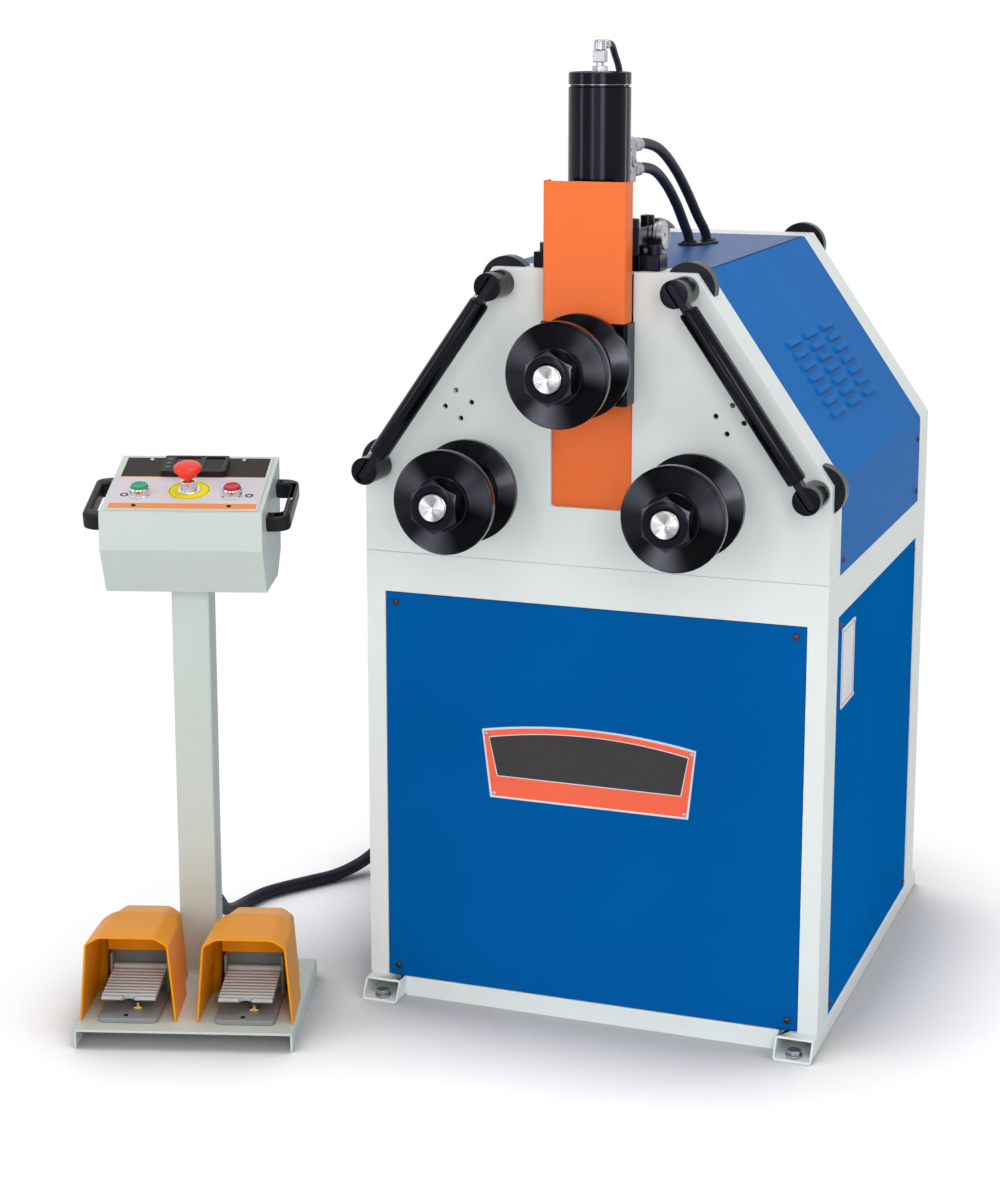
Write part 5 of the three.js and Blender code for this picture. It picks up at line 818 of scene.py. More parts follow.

# %% [markdown]
# ## Rolls, shafts and nuts
# The rolls are turned from one piece each: two flanges and a hub between them, blued and oiled until
# they shine. Their shafts end in a bright threaded tip with a centre hole, and a hexagon nut on a
# collar holds each roll; the nut's corner chamfers are a lighter steel, partly edge wear and partly a
# painted highlight. Turned end faces show fine rings, so the bright steel gets a ring bump that is
# centred on its own shaft by a Mapping node, and both steels get light and dark fans painted into
# their colour: a painted reflection of the lamps in those rings.

# %% Helper: steel with turning marks and painted glints
PAINTED_GLINT_FANS = ((0.0, 0.62), (0.09, 0.95), (0.17, 0.40), (0.30, 0.30), (0.40, 0.70), (0.47, 0.95), (0.55, 0.42),
        (0.68, 0.26), (0.80, 0.90), (0.88, 0.38), (1.0, 0.62))


def turned_steel(name, slot, x, z):
    """Bright steel centred on a shaft: rings from the tool, and light and dark fans painted into its
    colour, a painted reflection of the lamps in such rings."""
    look = finish(name, slot, (200, 201, 207), (176, 178, 186), 0.24, metal=1.0, bump=0.04)
    tree = look.node_tree
    shader = tree.nodes["Principled BSDF"].inputs
    place = wired(tree, "ShaderNodeTexCoord", out="Object")
    centred = wired(tree, "ShaderNodeMapping", {"Vector": place, "Location": -at(x, 0, z)})
    rings = wired(tree, "ShaderNodeTexWave", {"Vector": centred, "Scale": 420, "Distortion": 1.5}, out="Fac",
                  wave_type="RINGS", rings_direction="Y")
    under = shader["Normal"].links[0].from_socket
    feed(shader["Normal"], wired(tree, "ShaderNodeBump", {
        "Height": rings, "Normal": under, "Strength": 0.22, "Distance": 0.0003}))
    # Painted glints: a radial ramp of light and dark fans in the base colour stands in for the lamps'
    # reflections in the turned rings.
    upright = wired(tree, "ShaderNodeMapping", {"Vector": centred, "Rotation": (math.pi / 2, 0, 0)})
    painted_glint = wired(tree, "ShaderNodeTexGradient", {"Vector": upright}, out="Fac", gradient_type="RADIAL")
    glint_tones = [(stop, (tone, tone, tone * 1.03)) for stop, tone in PAINTED_GLINT_FANS]
    feed(shader["Base Color"], ramped(tree, painted_glint, glint_tones, "EASE"))
    return look


def turned_black(name, x, z):
    """Blued steel centred on a shaft, with faint painted highlight fans like those of a turned face."""
    look = turned_steel(name, "black_steel", x, z)
    shader = look.node_tree.nodes["Principled BSDF"].inputs
    # The painted glint fans are darkened to suit blued steel.
    for stop in shader["Base Color"].links[0].from_node.color_ramp.elements:
        tone = 0.006 + 0.16 * max(0.0, stop.color[0] - 0.55)
        stop.color = (tone, tone, tone * 1.25, 1)
    spread = shader["Roughness"].links[0].from_node.inputs
    spread["To Min"].default_value, spread["To Max"].default_value = 0.12, 0.18
    return look


# %% Profiles of the roll train
# Heights run from the front of the roll towards the camera, and below zero into the machine.
ROLL = [(25.3, 0), (33, 0), (35, -1.2), (74, -1.2), (75.5, -0.4), (77.5, -2.6), (77.5, -14), (52, -18),
        (52, -95), (77.5, -99), (77.5, -110.4), (75.5, -112.6), (60, -113), (25.3, -113)]
NUT = [(20.3, 0.3), (40, 0.3), (41, 1.3), (41, 4.6), (39.4, 6), (35, 6.1), (35, 6.4, "hex"),
       (35, 33.4, "hex"), (34.6, 36.4, "crown"), (33.6, 37), (23, 37), (20.3, 34.6), (20.3, 0.3)]
TIP = [(0, 37.4), (5.4, 41.6), (6.2, 42), (18.6, 42), (20, 40.6), (20, 38.6), (19, 38.4)]
for k in range(12):
    TIP += [(18.6, 37 - 3 * k), (18.6, 36.5 - 3 * k), (19.9, 35.5 - 3 * k), (19.9, 35 - 3 * k)]
TIP += [(19.9, 0.2), (25, -0.2), (25, -113.3), (34, -113.3)]
LOWER_SHAFT = TIP + [(34, -161.5), (30, -161.5), (30, -267.4), (25, -267.4), (25, -321.5), (22, -321.5),
                     (22, -362), (21, -363), (0, -363)]
TOP_SHAFT = TIP + [(34, -119.5), (30, -119.5), (30, -249.5), (34, -249.5), (34, -258.5), (33, -259.5),
                   (0, -259.5)]

# %% Rolls, nuts and shaft ends
trains = (
    ("left", -ROLL_X, ROLL_Z, LOWER_SHAFT, "lower_roll_left", "lower_shaft_left"),
    ("right", ROLL_X, ROLL_Z, LOWER_SHAFT, "lower_roll_right", "lower_shaft_right"),
    ("top", 0, TOP_ROLL_Z, TOP_SHAFT, "top_roll", "top_shaft"),
)
for tag, x, z, shaft, roll_node, shaft_node in trains:
    face = facing("front", x, -163, z)
    body = f"{tag}_roll_train"
    blued = turned_black(f"blued_steel_{tag}", x, z)
    turned(f"roll_{tag}", face, ROLL, blued, roll_node, sides=120, ease=0.7, closed=True, body=body)
    nut = turned(f"shaft_nut_{tag}", face, NUT, BLACK_GLOSS, f"roll_nut_{tag}", sides=96, body=body)
    # The corner chamfers get the lighter steel, partly edge wear and partly a painted highlight.
    nut.data.materials.append(EDGE_WEAR_AND_HIGHLIGHT)
    inward = face.inverted()
    for poly in nut.data.polygons:
        place = inward @ poly.center
        if 33 < place.z < 36.98 and place.xy.length > 30 and 0.3 < abs(poly.normal.y) < 0.97:
            poly.material_index = 1
    steel = turned_steel(f"turned_steel_{tag}", "bright_steel", x, z)
    turned(f"shaft_{tag}", face, shaft, steel, shaft_node, sides=64, body=body)

# %% Gears and other steel inside the housing
BRIGHT = ("roll_gear_left", "roll_gear_right", "drive_pinion", "guide_rail_left", "guide_rail_right")
CAST = ("bearing_housing_left", "bearing_housing_right", "inner_plate", "gear_motor", "hydraulic_tank",
        "pump_motor")
for name in BRIGHT + CAST:
    solid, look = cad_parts[name], BRIGHT_STEEL if name in BRIGHT else DARK_CASTING
    if not solid.material_slots:
        solid.data.materials.append(look)
    for holder in solid.material_slots:
        holder.material = look
print("solids painted as they are:", len(BRIGHT + CAST))

# %% [markdown]
# ## The carriage
# The top roll turns in a black block that slides down the slot. A flat orange sheet covers the slot
# below the block and a folded orange channel covers the piston rod above it. The channel is one
# bent sheet: a line with rounded corners gets a wall, and the wall gets its height.

# %% Block, rod and orange covers
CYLINDER_Y, CYLINDER_FOOT = 30, 1237.3
softened("bearing_block", 1.4, BLACK_GLOSS, 3, body="carriage")
rod = [(0, 1101.3), (25, 1101.3), (25, 1374), (35.3, 1374), (35.3, 1400), (0, 1400)]
turned("piston_rod_fine", facing("up", 0, CYLINDER_Y, 0), rod, BRIGHT_STEEL, "piston_rod", ease=0.6,
       body="carriage")
outer = eased([(-63.75, -8), (-63.75, -40), (63.75, -40), (63.75, -8)], 6, steps=6)
inner = []
for i, point in enumerate(outer):
    ahead = (Vector(outer[min(i + 1, len(outer) - 1)]) - Vector(outer[max(i - 1, 0)])).normalized()
    inner.append(tuple(Vector(point) + Vector((-ahead.y, ahead.x)) * 2))
slab("rod_cover", [outer + inner[::-1]], 1101.3, 1306, 0.35, ORANGE_PAINT, MACHINE, "upper_cover",
     body="carriage")
for name, x, y, z, edge, nodes in (
    ("rod_cover_floor", (-61.6, 61.6), (-37.9, -8.4), (1101.4, 1103.3), 0.3, ()),
    ("slot_cover", (-66, 66), (8.65, 10.6), (805.7, 979.5), 0.4, ("lower_cover",)),
    ("slot_cover_lip", (-66, 66), (8.7, 58.6), (977.7, 979.6), 0.4, ()),
):
    milled(name, x, y, z, edge, ORANGE_PAINT, *nodes, body="carriage")

# %% [markdown]
# ## The press cylinder
# A black honed tube stands on a stepped flange that four socket screws hold down. Near its top a
# groove with bright flanks catches the light. The flange is made as it is on the real machine, from
# a thick plate with its front corners cut off, on a narrower foot with two wings.

# %% Cylinder
UPRIGHT_AXIS = facing("up", 0, CYLINDER_Y, 0)
barrel = [
    (36, CYLINDER_FOOT), (46, CYLINDER_FOOT), (46, 1438.6), (44.9, 1439.2), (43.5, 1439.6), (43.5, 1442.4),
    (44.9, 1442.8), (46, 1443.4), (46, 1459), (44.6, 1460.8), (40.6, 1461), (40.2, 1459.6), (14, 1459.6),
    (13.6, 1461), (0, 1461), (0, 1437), (36, 1437), (36, CYLINDER_FOOT),
]
turned("cylinder_tube", UPRIGHT_AXIS, barrel, BLACK_GLOSS, "cylinder_barrel", sides=128)
for tag, z in (("upper", 1443.1), ("lower", 1238.4)):
    ring = [(45.6, z - 0.35), (46.25, z - 0.2), (46.25, z + 0.2), (45.6, z + 0.35), (45.6, z - 0.35)]
    turned(f"{tag}_edge_ring", UPRIGHT_AXIS, ring, BRIGHT_STEEL, sides=128)
print("cylinder height:", round(1461 - CYLINDER_FOOT, 1), "mm")

# %% Flange
nose = eased([(-48, -22), (48, -22), (70, 4), (70, 110), (-70, 110), (-70, 4)], 3, closed=True)
bore = round_loop(0, CYLINDER_Y, 26, 64)
for name, loop, low, high, edge, nodes in (
    ("flange_plate", nose, 1197.2, 1237, 1.4, ("cylinder_flange",)),
    ("flange_foot", box_loop((-70, 70), (10, 110), 2), 1173.8, 1197.3, 0.8, ()),
    ("flange_wings", box_loop((-98, 98), (16, 60), 4), 1173.9, 1197.0, 1.6, ()),
):
    slab(name, [loop, bore], low, high, edge, BLACK_GLOSS, MACHINE, *nodes)
cap_places = [(at(x, y, 1237), UP) for x in (-55, 55) for y in (19, 95)]
fasteners("flange_screws", CAP_SCREW, cap_places, BLACK_SATIN, 5)
fasteners("wing_screws", CAP_SCREW, [(at(side * 84, 38, 1197), UP) for side in (-1, 1)], BLACK_SATIN, 8)

# %% [markdown]
# ## Valve block, hoses and fittings
# Behind the cylinder a grey valve block feeds two pressure hoses that drop through an oval plate in
# the top cover. A thin bleed hose leaves the fitting on top of the cylinder. The hoses are held at
# both ends, so each is a smooth line with a ring swept along it, and crimped sleeves at its start.

# %% Valve block
milled("valve_block", (-26, 26), (76.3, 130.3), (1296, 1361), 1.6, VALVE_GREY, "valve_manifold")
milled("valve_foot", (-18, 18), (76.3, 100.3), (CYLINDER_FOOT, 1296.2), 1.2, VALVE_GREY)
plug = [(0, 0), (8, 0), (8, 2.2), (7.2, 3), (4.4, 3), (4.1, 2.6, "hex"), (4, 0.8, "hex"), (0, 0.6)]
for k, (y, z) in enumerate(((92, 1344), (116, 1326), (92, 1312))):
    turned(f"valve_plug_{k + 1}", facing("right", 25.9, y, z), plug, ZINC, sides=36)
cartridge = [(0, -0.5), (12, -0.5), (12, 6, "hex"), (11.6, 7, "crown"), (9, 7.2), (9, 18), (8, 19.4),
             (5, 19.6), (0, 19.6)]
turned("relief_valve", facing("up", -6, 108, 1361), cartridge, ZINC, sides=48)

# %% Sleeves and hoses
HOSE_ENDS = ((37.5, 495), (19.5, 451))
sleeve = [(0, 0), (10.6, 0, "hex"), (11, 0.6, "hex"), (11, 12.6, "hex"), (10.7, 14, "crown"), (9.4, 14.2),
          (10.5, 15.6), (10.5, 20), (9.8, 21), (10.5, 22), (10.5, 26), (9.8, 27), (10.5, 28), (10.5, 32),
          (9.8, 33), (10.5, 34), (10.5, 38.4), (9.8, 40), (8.3, 40), (8.1, 38), (0, 38)]
boot = [(7.6, 0), (12.4, 0), (12.4, 1.4), (11.4, 2.6), (9.8, 3.6), (8.8, 3.8), (7.6, 0)]
HOSE_SHARES = (((0, 0, 0), (0, 0.1, 0), (0.19, 0.306, 0.07), (0.38, 0.522, 0.255), (0.6, 0.707, 0.499),
                (0.8, 0.86, 0.742), (0.95, 0.965, 0.9), (1, 1, 1)),
               ((0, 0, 0), (0, 0.114, 0), (0, 0.326, 0.066), (0.05, 0.551, 0.251), (0.3, 0.754, 0.509),
                (0.7, 0.9, 0.764), (0.93, 0.975, 0.9), (1, 1, 1)))
hoses = zip(("upper", "lower"), (1350, 1313), HOSE_ENDS, HOSE_SHARES, (["pressure_hoses"], []))
for tag, z, end, shares, nodes in hoses:
    turned(f"{tag}_hose_sleeve", facing("back", 16.5, 130.2, z), sleeve, VALVE_GREY, sides=48)
    start = Vector((16.5, 168.6, z))
    way = Vector((*end, 1176)) - start
    points = [at(*(start + Vector((way.x * a, way.y * b, way.z * c)))) for a, b, c in shares]
    hose_line = smooth_line(points, 90)
    tube(f"{tag}_pressure_hose", hose_line, 0.008, 20, RUBBER, *nodes)
    turned(f"{tag}_hose_boot", facing("up", *end, 1177.6), boot, BLACK_PLASTIC, sides=40)
    print(tag, "pressure hose:", round(length_of(hose_line), 3), "m")

# %% Oval entry plate
COVER_SCREW = (-10, 660)
entry_way = (Vector(HOSE_ENDS[0]) - Vector(HOSE_ENDS[1])).normalized()
entry_side = Vector((-entry_way.y, entry_way.x))
entry_loop, tabs = [], []
for end, start, reach in zip(HOSE_ENDS, (-90, 90), (14.5, -14.5)):
    for k in range(13):
        angle = math.radians(start + k * 15)
        out = math.cos(angle) * entry_way + math.sin(angle) * entry_side
        entry_loop.append(tuple(Vector(end) + 19 * out))
    tabs.append((at(*(Vector(end) + entry_way * reach), 1177.6), UP))
slab("hose_entry_plate", [entry_loop], 1173.8, 1177.8, 1.0, BLACK_PLASTIC, MACHINE)
fasteners("entry_screws", PAN_SCREW, [*tabs, (at(*COVER_SCREW, TOP_Z), UP)], BLACK_SATIN, 4)

# %% Bleed fitting and hose
bleed_nut = [(0, 0), (10, 0, "hex"), (10, 7, "hex"), (9.8, 8, "crown"), (6, 8.1), (6, 13.2), (0, 13.2)]
turned("bleed_nut", facing("up", 0, CYLINDER_Y, 1461.3), bleed_nut, ZINC, "bleed_fitting", sides=48)
milled("bleed_block", (-9, 9), (21, 39), (1474.3, 1491.3), 1.4, ZINC)
elbow = [(0, 0), (7, 0), (9, 1.4), (9, 12), (8.2, 13.6), (6.6, 14.2, "hex"), (6.4, 15.6, "crown"), (0, 15.8)]
turned("bleed_elbow", facing("up", 0, CYLINDER_Y, 1491.3), elbow, ZINC, sides=48)
cuff = [(0, 0), (5.6, 0), (5.6, 11), (6, 11.4, "hex"), (6, 18, "hex"), (5.8, 18.6), (6.8, 19.4), (6.8, 31),
        (5.6, 32), (0, 32)]
turned("bleed_cuff", facing("back", 0, CYLINDER_Y, 1500.3), cuff, ZINC, sides=36)
bleed_points = ((0, 60.3, 1500.3), (0, 82.3, 1499.3), (-2.5, 107.3, 1485.3), (-5, 140.3, 1455.3),
                (-10, 145.3, 1410.3), (-15, 145.3, 1296), (-15, 145.3, 1213.5), (-15, 145.3, 1173.8))
bleed_line = smooth_line([at(*p) for p in bleed_points], 80)
tube("bleed_hose_tube", bleed_line, 0.005, 16, RUBBER, "bleed_hose")
print("bleed hose:", round(length_of(bleed_line), 3), "m")

# %% [markdown]
# ## Pressure gauge
# The gauge sits on the right side of the flange. It has a plated rim, a white dial with long and
# short ticks, a black needle and a real glass, so it stands up to a close look from the side.

# %% Gauge
GAUGE = facing("right", 70.3, 88, 1222)
case = [(0, 0), (18.4, 0), (19, 0.8), (19, 5.6), (21.6, 6), (22.5, 7), (22.5, 14.8), (21.7, 16), (20.8, 16),
        (20.2, 15.2), (20.2, 13), (0, 13)]
turned("gauge_case", GAUGE, case, ZINC, "pressure_gauge")
turned("gauge_dial", GAUGE, [(0, 13.05), (20.1, 13.05), (20.1, 13.25), (0, 13.25)], DIAL_WHITE)
TICKS = 31
marks = bmesh.new()
for k in range(TICKS):
    angle = math.radians(-225 + k * 9) + math.pi / 2
    inside, width = (16.6, 0.25) if k % 5 else (14.6, 0.45)
    c, s = math.cos(angle), math.sin(angle)
    way, across = Vector((c, s, 0)), Vector((-s, c, 0))
    tick = ((inside, -width), (18.6, -width), (18.6, width), (inside, width))
    corners = [way * r + across * w for r, w in tick]
    low, top = ([marks.verts.new(c + UP * z) for c in corners] for z in (13.2, 13.32))
    marks.faces.new(top)
    marks.faces.new(low[::-1])
    for j in range(4):
        marks.faces.new((low[j], low[(j + 1) % 4], top[(j + 1) % 4], top[j]))
bmesh.ops.recalc_face_normals(marks, faces=marks.faces)
mount(piece_from("gauge_marks", marks, BLACK_PLASTIC, GAUGE))
needle = [(-5, -0.9), (12.5, -0.28), (12.5, 0.28), (-5, 0.9)]
slab("gauge_needle", [needle], 13.6, 13.9, 0.05, BLACK_PLASTIC, GAUGE @ turn(-135, "Z"))
boss = [(0, 13.2), (2.2, 13.2), (2.2, 14.1), (1.6, 14.5), (0, 14.5)]
turned("gauge_boss", GAUGE, boss, BLACK_PLASTIC, sides=24)
turned("gauge_window", GAUGE, [(0, 14.7), (20.1, 14.7), (20.1, 15.3), (0, 15.5)], GLASS)
print("gauge ticks:", TICKS)

# %% [markdown]
# ## Side bars and their pegs
# A round bar runs parallel to each slope. Its flat tongues lie in two slotted pegs, and each peg
# carries a disc behind the plate that shows through a slit in the edge of the housing. The pegs'
# forked heads are two D-shaped slabs on a turned base.

# %% Bars, pegs and discs
MOUTH_HALF, FORK_R = 6.4, 21
mouth = math.asin(MOUTH_HALF / FORK_R)
FORK = arc(0, 0, FORK_R, math.pi / 2 - mouth, 2 * mouth - 2 * math.pi, 60)
FORK += arc(0, -11, MOUTH_HALF, math.pi, math.pi, 12)
PEG_BASE = [(0, 0.3), (20.2, 0.3), (21, 1.2), (21, 33.9), (0, 33.9)]
PEG_DISC = [(0, 0), (10, 0), (10, 19), (37.8, 19), (39, 20.2), (39, 42.8), (37.8, 44), (10, 44), (10, 50),
            (0, 50)]


def side_bar(tag, side):
    low, high = (Vector((side * x, z)) for x, z in (LOW_PEG, HIGH_PEG))
    along, length = (high - low).normalized(), (high - low).length
    lean = math.degrees(math.atan2(along.x, along.y))
    bar_place = MACHINE @ Matrix.Translation((low.x, -45, low.y)) @ turn(lean, "Y")
    bar = [(0, 29), (11, 29), (14, 30.4), (15, 33.4), (15, length - 33.4), (14, length - 30.4),
           (11, length - 29), (0, length - 29)]
    turned(f"side_bar_round_{tag}", bar_place, bar, BLACK_GLOSS, f"side_bar_{tag}")
    tongue_place = MACHINE @ Matrix.Translation((low.x, 0, low.y)) @ turn(lean, "Y") @ turn(90, "X")
    slab(f"bar_tongue_{tag}", [box_loop((-6, 6), (-17, length + 17), 6)], 34, 56, 0.8, BLACK_SATIN,
         tongue_place)
    for name, peg, flip in (("low", low, 0), ("high", high, 180)):
        place = facing("front", peg.x, 0, peg.y)
        turned(f"{name}_peg_{tag}", place, PEG_BASE, BLACK_GLOSS)
        slab(f"{name}_peg_fork_{tag}", [FORK], 33.8, 62, 1.3, BLACK_GLOSS, place @ turn(flip - lean, "Z"))
        turned(f"{name}_disc_{tag}", facing("back", peg.x, 0, peg.y), PEG_DISC, BLACK_SATIN)


for tag, side in SIDES:
    side_bar(tag, side)
print("side bar pegs at", LOW_PEG, HIGH_PEG)

# %% [markdown]
# ## Control stand
# A folded base plate, a square post and a folded console. Their solid is exact, so a copy gets
# broken edges, and weld beads close the joint between post and base. The console's top is laid out
# flat in its own sloping frame, where u runs to the right and v up the slope.

# %% Base, post and console box
softened("stand_frame", 0.9, GREY_PAINT, 3)
softened("console_box", 1.1, GREY_PAINT, 3)
half, reach = POST_HALF, POST_HALF - 4
for tag, start, end in (
    ("front", (-reach, -half), (reach, -half)), ("back", (-reach, half), (reach, half)),
    ("left", (-half, -reach), (-half, reach)), ("right", (half, -reach), (half, reach)),
):
    ends = (STAND @ Vector((POST_U + u, POST_V + v, 30.6)) for u, v in (start, end))
    weld_bead(f"post_weld_{tag}", *ends, 2.4, 0.14, GREY_PAINT)
print("stand post foot at", [round(v, 3) for v in STAND @ Vector((POST_U, POST_V, 30))])

# %% [markdown]
# ## Console top
# The panel is a printed sheet in four zones: brown, a thin orange line, lilac and an orange band. The
# zones are foils a tenth of a millimetre thick. Chrome bezels, domed caps and the mushroom head are
# turned, and each cap rides on its own body so that it can be pressed.

# %% Panel and foils
BUTTON_U, BUTTON_V = 72, -42
STOP_U, STOP_V = 2, -27
holes = [round_loop(side * BUTTON_U, BUTTON_V, 13.4, 48) for side in (-1, 1)]
stop_hole = round_loop(STOP_U, STOP_V, 5.7)
holes.append(stop_hole)
slab("console_sheet", [box_loop((-118, 118), (-95, 95), 5), *holes], 0.3, 2.3, 0.3, GREY_PAINT, DECK,
     "console_panel", slot="panel_aluminium")
for name, v, look, cuts in (
    ("foil_brown", (21.6, 91), FOIL_BROWN, []), ("foil_orange_line", (19.4, 21.6), FOIL_ORANGE, []),
    ("foil_lilac", (-73, 19.4), FOIL_LILAC, holes), ("foil_orange_band", (-91, -73), FOIL_ORANGE, []),
):
    slab(name, [box_loop((-114, 114), v), *cuts], 2.28, 2.42, 0.02, look, DECK)
for tag, u in (("left", -96), ("right", 98)):
    rings = [round_loop(u, -44, radius) for radius in (6.6, 3.4)]
    slab(f"printed_ring_{tag}", rings, 2.4, 2.5, 0.02, BLACK_PLASTIC, DECK)
slab("stop_foil", [round_loop(STOP_U, STOP_V, 33.5, 96), stop_hole], 2.4, 2.52, 0.02, SIGNAL_YELLOW, DECK)
rings = [round_loop(STOP_U, STOP_V, radius, 96) for radius in (31.2, 30.2)]
slab("stop_foil_ring", rings, 2.5, 2.56, 0.02, BLACK_PLASTIC, DECK)
deck_up = (DECK.to_3x3() @ UP).normalized()
corner_screws = [(DECK @ Vector((u, v, 2.4)), deck_up) for v in (-82, 84.5) for u in (-75, 72)]
fasteners("console_screws_front", SMALL_SCREW, corner_screws[:2], BLACK_SATIN, 6)
fasteners("console_screws_rear", SMALL_SCREW, corner_screws[2:], ZINC, 12)

# %% Display
screen_loop = box_loop((-51, 51), (20, 79), 5)
windows = (("left", (-32, 6), SCREEN_RED), ("right", (15, 45), SCREEN_BLACK))
window_v = (30, 73)
slab("display_case", [screen_loop], 2.6, 9.6, 0.6, BLACK_PLASTIC, DECK, "display_unit")
openings = [box_loop(u, window_v, 3) for tag, u, look in windows]
slab("display_bezel", [screen_loop, *openings], 9.5, 12.6, 0.7, BLACK_PLASTIC, DECK)
for tag, u, look in windows:
    milled(f"display_pane_{tag}", u, window_v, (9.4, 10.6), 0.25, look, place=DECK)
for k in range(3):
    key_v = (31 + 14 * k, 40 + 14 * k)
    milled(f"display_key_{k + 1}", (-45, -37), key_v, (12.4, 13.3), 0.4, DISPLAY_KEY, place=DECK)
trim_loops = [box_loop((12.6, 47.4), (27.6, 75.4), 4.4), box_loop((13.8, 46.2), (28.8, 74.2), 3.6)]
slab("display_trim", trim_loops, 12.5, 12.9, 0.06, DISPLAY_KEY, DECK)
print("display windows:", [tag for tag, u, look in windows])

# %% Buttons
bezel = [(13.4, 2.3), (18, 2.3), (18, 4.4), (17.2, 5.2), (16.1, 5.4), (15.9, 14.4), (15, 15.7), (14.2, 15.7),
         (13.4, 14.9), (13.4, 2.3)]
cap = [(0, -4.8), (12.6, -4.8), (12.6, 17.6), (12.2, 18.7), (11.2, 19.2), (9.4, 19.1), (8.6, 18.7), (4, 18.3),
       (0, 18.2)]
for tag, side, look in (("start", -1, GREEN_PLASTIC), ("stop", 1, DARK_RED_PLASTIC)):
    place = DECK @ Matrix.Translation((side * BUTTON_U, BUTTON_V, 0))
    turned(f"{tag}_bezel", place, bezel, CHROME)
    turned(f"{tag}_cap", place, cap, look, f"{tag}_button", body=f"{tag}_button")
place = DECK @ Matrix.Translation((STOP_U, STOP_V, 0))
collar = [(5.7, 2.3), (18, 2.3), (18, 4.6), (17.2, 5.3), (13.2, 5.5), (13, 6.2), (13, 19.5), (12.2, 20.5),
          (5.7, 20.5), (5.7, 2.3)]
turned("emergency_collar", place, collar, CHROME)
head = [(0, -12), (5, -12), (5, 27), (13.8, 27), (14.6, 27.8), (14.9, 34.6), (16, 35.6), (20.6, 36.6),
        (21.4, 37.6), (21.4, 41.4), (20.7, 43.6), (19.2, 45.2), (15, 46.5), (9, 47.3), (0, 47.6)]
turned("emergency_head", place, head, RED_PLASTIC, "emergency_button", sides=96, body="emergency_button")
print("console top slope:", round(math.degrees(DECK_SLOPE), 1), "degrees")

# %% [markdown]
# ## Handles
# Each handle is one moulded bow. Its outline is a C with rounded corners, and the sheet cutter
# rounds its edges by 3.6 millimetres, as a hand needs. Two feet with a screw each meet the box.

# %% Handles
BOW = eased([(125.8, -70), (144, -70, 6), (161.8, -62, 16), (161.8, 62, 16), (144, 70, 6), (125.8, 70),
             (125.8, 49), (138, 49, 4), (149.4, 46, 8), (149.4, -46, 8), (138, -49, 4), (125.8, -49)], 2,
            closed=True, steps=6)
for tag, side in SIDES:
    loop = [(side * u, v) for u, v in BOW][::side]
    slab(f"handle_bow_{tag}", [loop], -48, -22, 3.6, BLACK_PLASTIC, DECK, f"console_handle_{tag}")
    screw_places = [(DECK @ Vector((side * 134, v, -22.2)), deck_up) for v in (-60, 60)]
    fasteners(f"handle_screws_{tag}", SMALL_SCREW, screw_places, BLACK_SATIN, 7)

# %% [markdown]
# ## Foot pedals
# A pedal is a yellow hood over a ribbed tread. The hood is a skin drawn through sections that shrink
# towards the back. It gets its wall from a solidify step, and its front rim is broken by a bevel. The
# aluminium sole, the switch, the hinge's ears, an inner screen, a brass stop stud and a screw are
# separate pieces, and the tread turns about its pin.

# %% Hood
SOLE_Z = 30.3
HOOD_W, HOOD_H = 150, 136
HOOD_RINGS = ((-115.9, 1, 1), (-70, 0.985, 0.988), (-10, 0.96, 0.97), (0, 0.93, 0.975), (11, 0.83, 0.955),
              (16, 0.82, 0.945), (68, 0.803, 0.865), (73.9, 0.80, 0.85))


def hood_section(x, v, width_share, height_share):
    """Half the hood's arch mirrored: foot, knee, bevelled shoulder and flat top, with soft corners."""
    width, top = HOOD_W * width_share, SOLE_Z + HOOD_H * height_share
    foot = width / 2
    half = [(foot, SOLE_Z), (foot - 0.07 * width, top - 12.2), (foot - 0.21 * width, top)]
    arch = [(-u, z) for u, z in half] + half[::-1]
    return [Vector((x + u, v, z)) for u, z in eased(arch, 5.5, steps=5)]


def pedal_hood(tag, x):
    bm = bmesh.new()
    rings = [[bm.verts.new(p) for p in hood_section(x, *ring)] for ring in HOOD_RINGS]
    for one, two in zip(rings, rings[1:]):
        for k in range(len(one) - 1):
            bm.faces.new((one[k], one[k + 1], two[k + 1], two[k]))
    bm.faces.new(rings[-1])
    bmesh.ops.recalc_face_normals(bm, faces=bm.faces)
    if rings[0][0].link_faces[0].normal.x > 0:
        bmesh.ops.reverse_faces(bm, faces=bm.faces)
    back = [e for e in bm.edges if all(v in rings[-1] for v in e.verts) and len(e.link_faces) == 2]
    bmesh.ops.bevel(bm, geom=back, offset=5, segments=4, profile=0.5, affect="EDGES")
    hood = piece_from(f"pedal_hood_{tag}", bm, YELLOW_PAINT, STAND, 40)
    modified(hood, "SOLIDIFY", thickness=0.0034, offset=-1)
    modified(hood, "BEVEL", width=0.0009, segments=2, angle_limit=math.radians(60))
    mount(creased(bake(hood), 35), f"pedal_housing_{tag}")


# %% Sole, switch and hinge
STUD = [(0, 38), (7.2, 38, "hex"), (7.2, 42.4, "hex"), (6.9, 43.2, "crown"), (4, 43.4), (4, 48), (3.2, 49.2),
        (0, 49.4)]


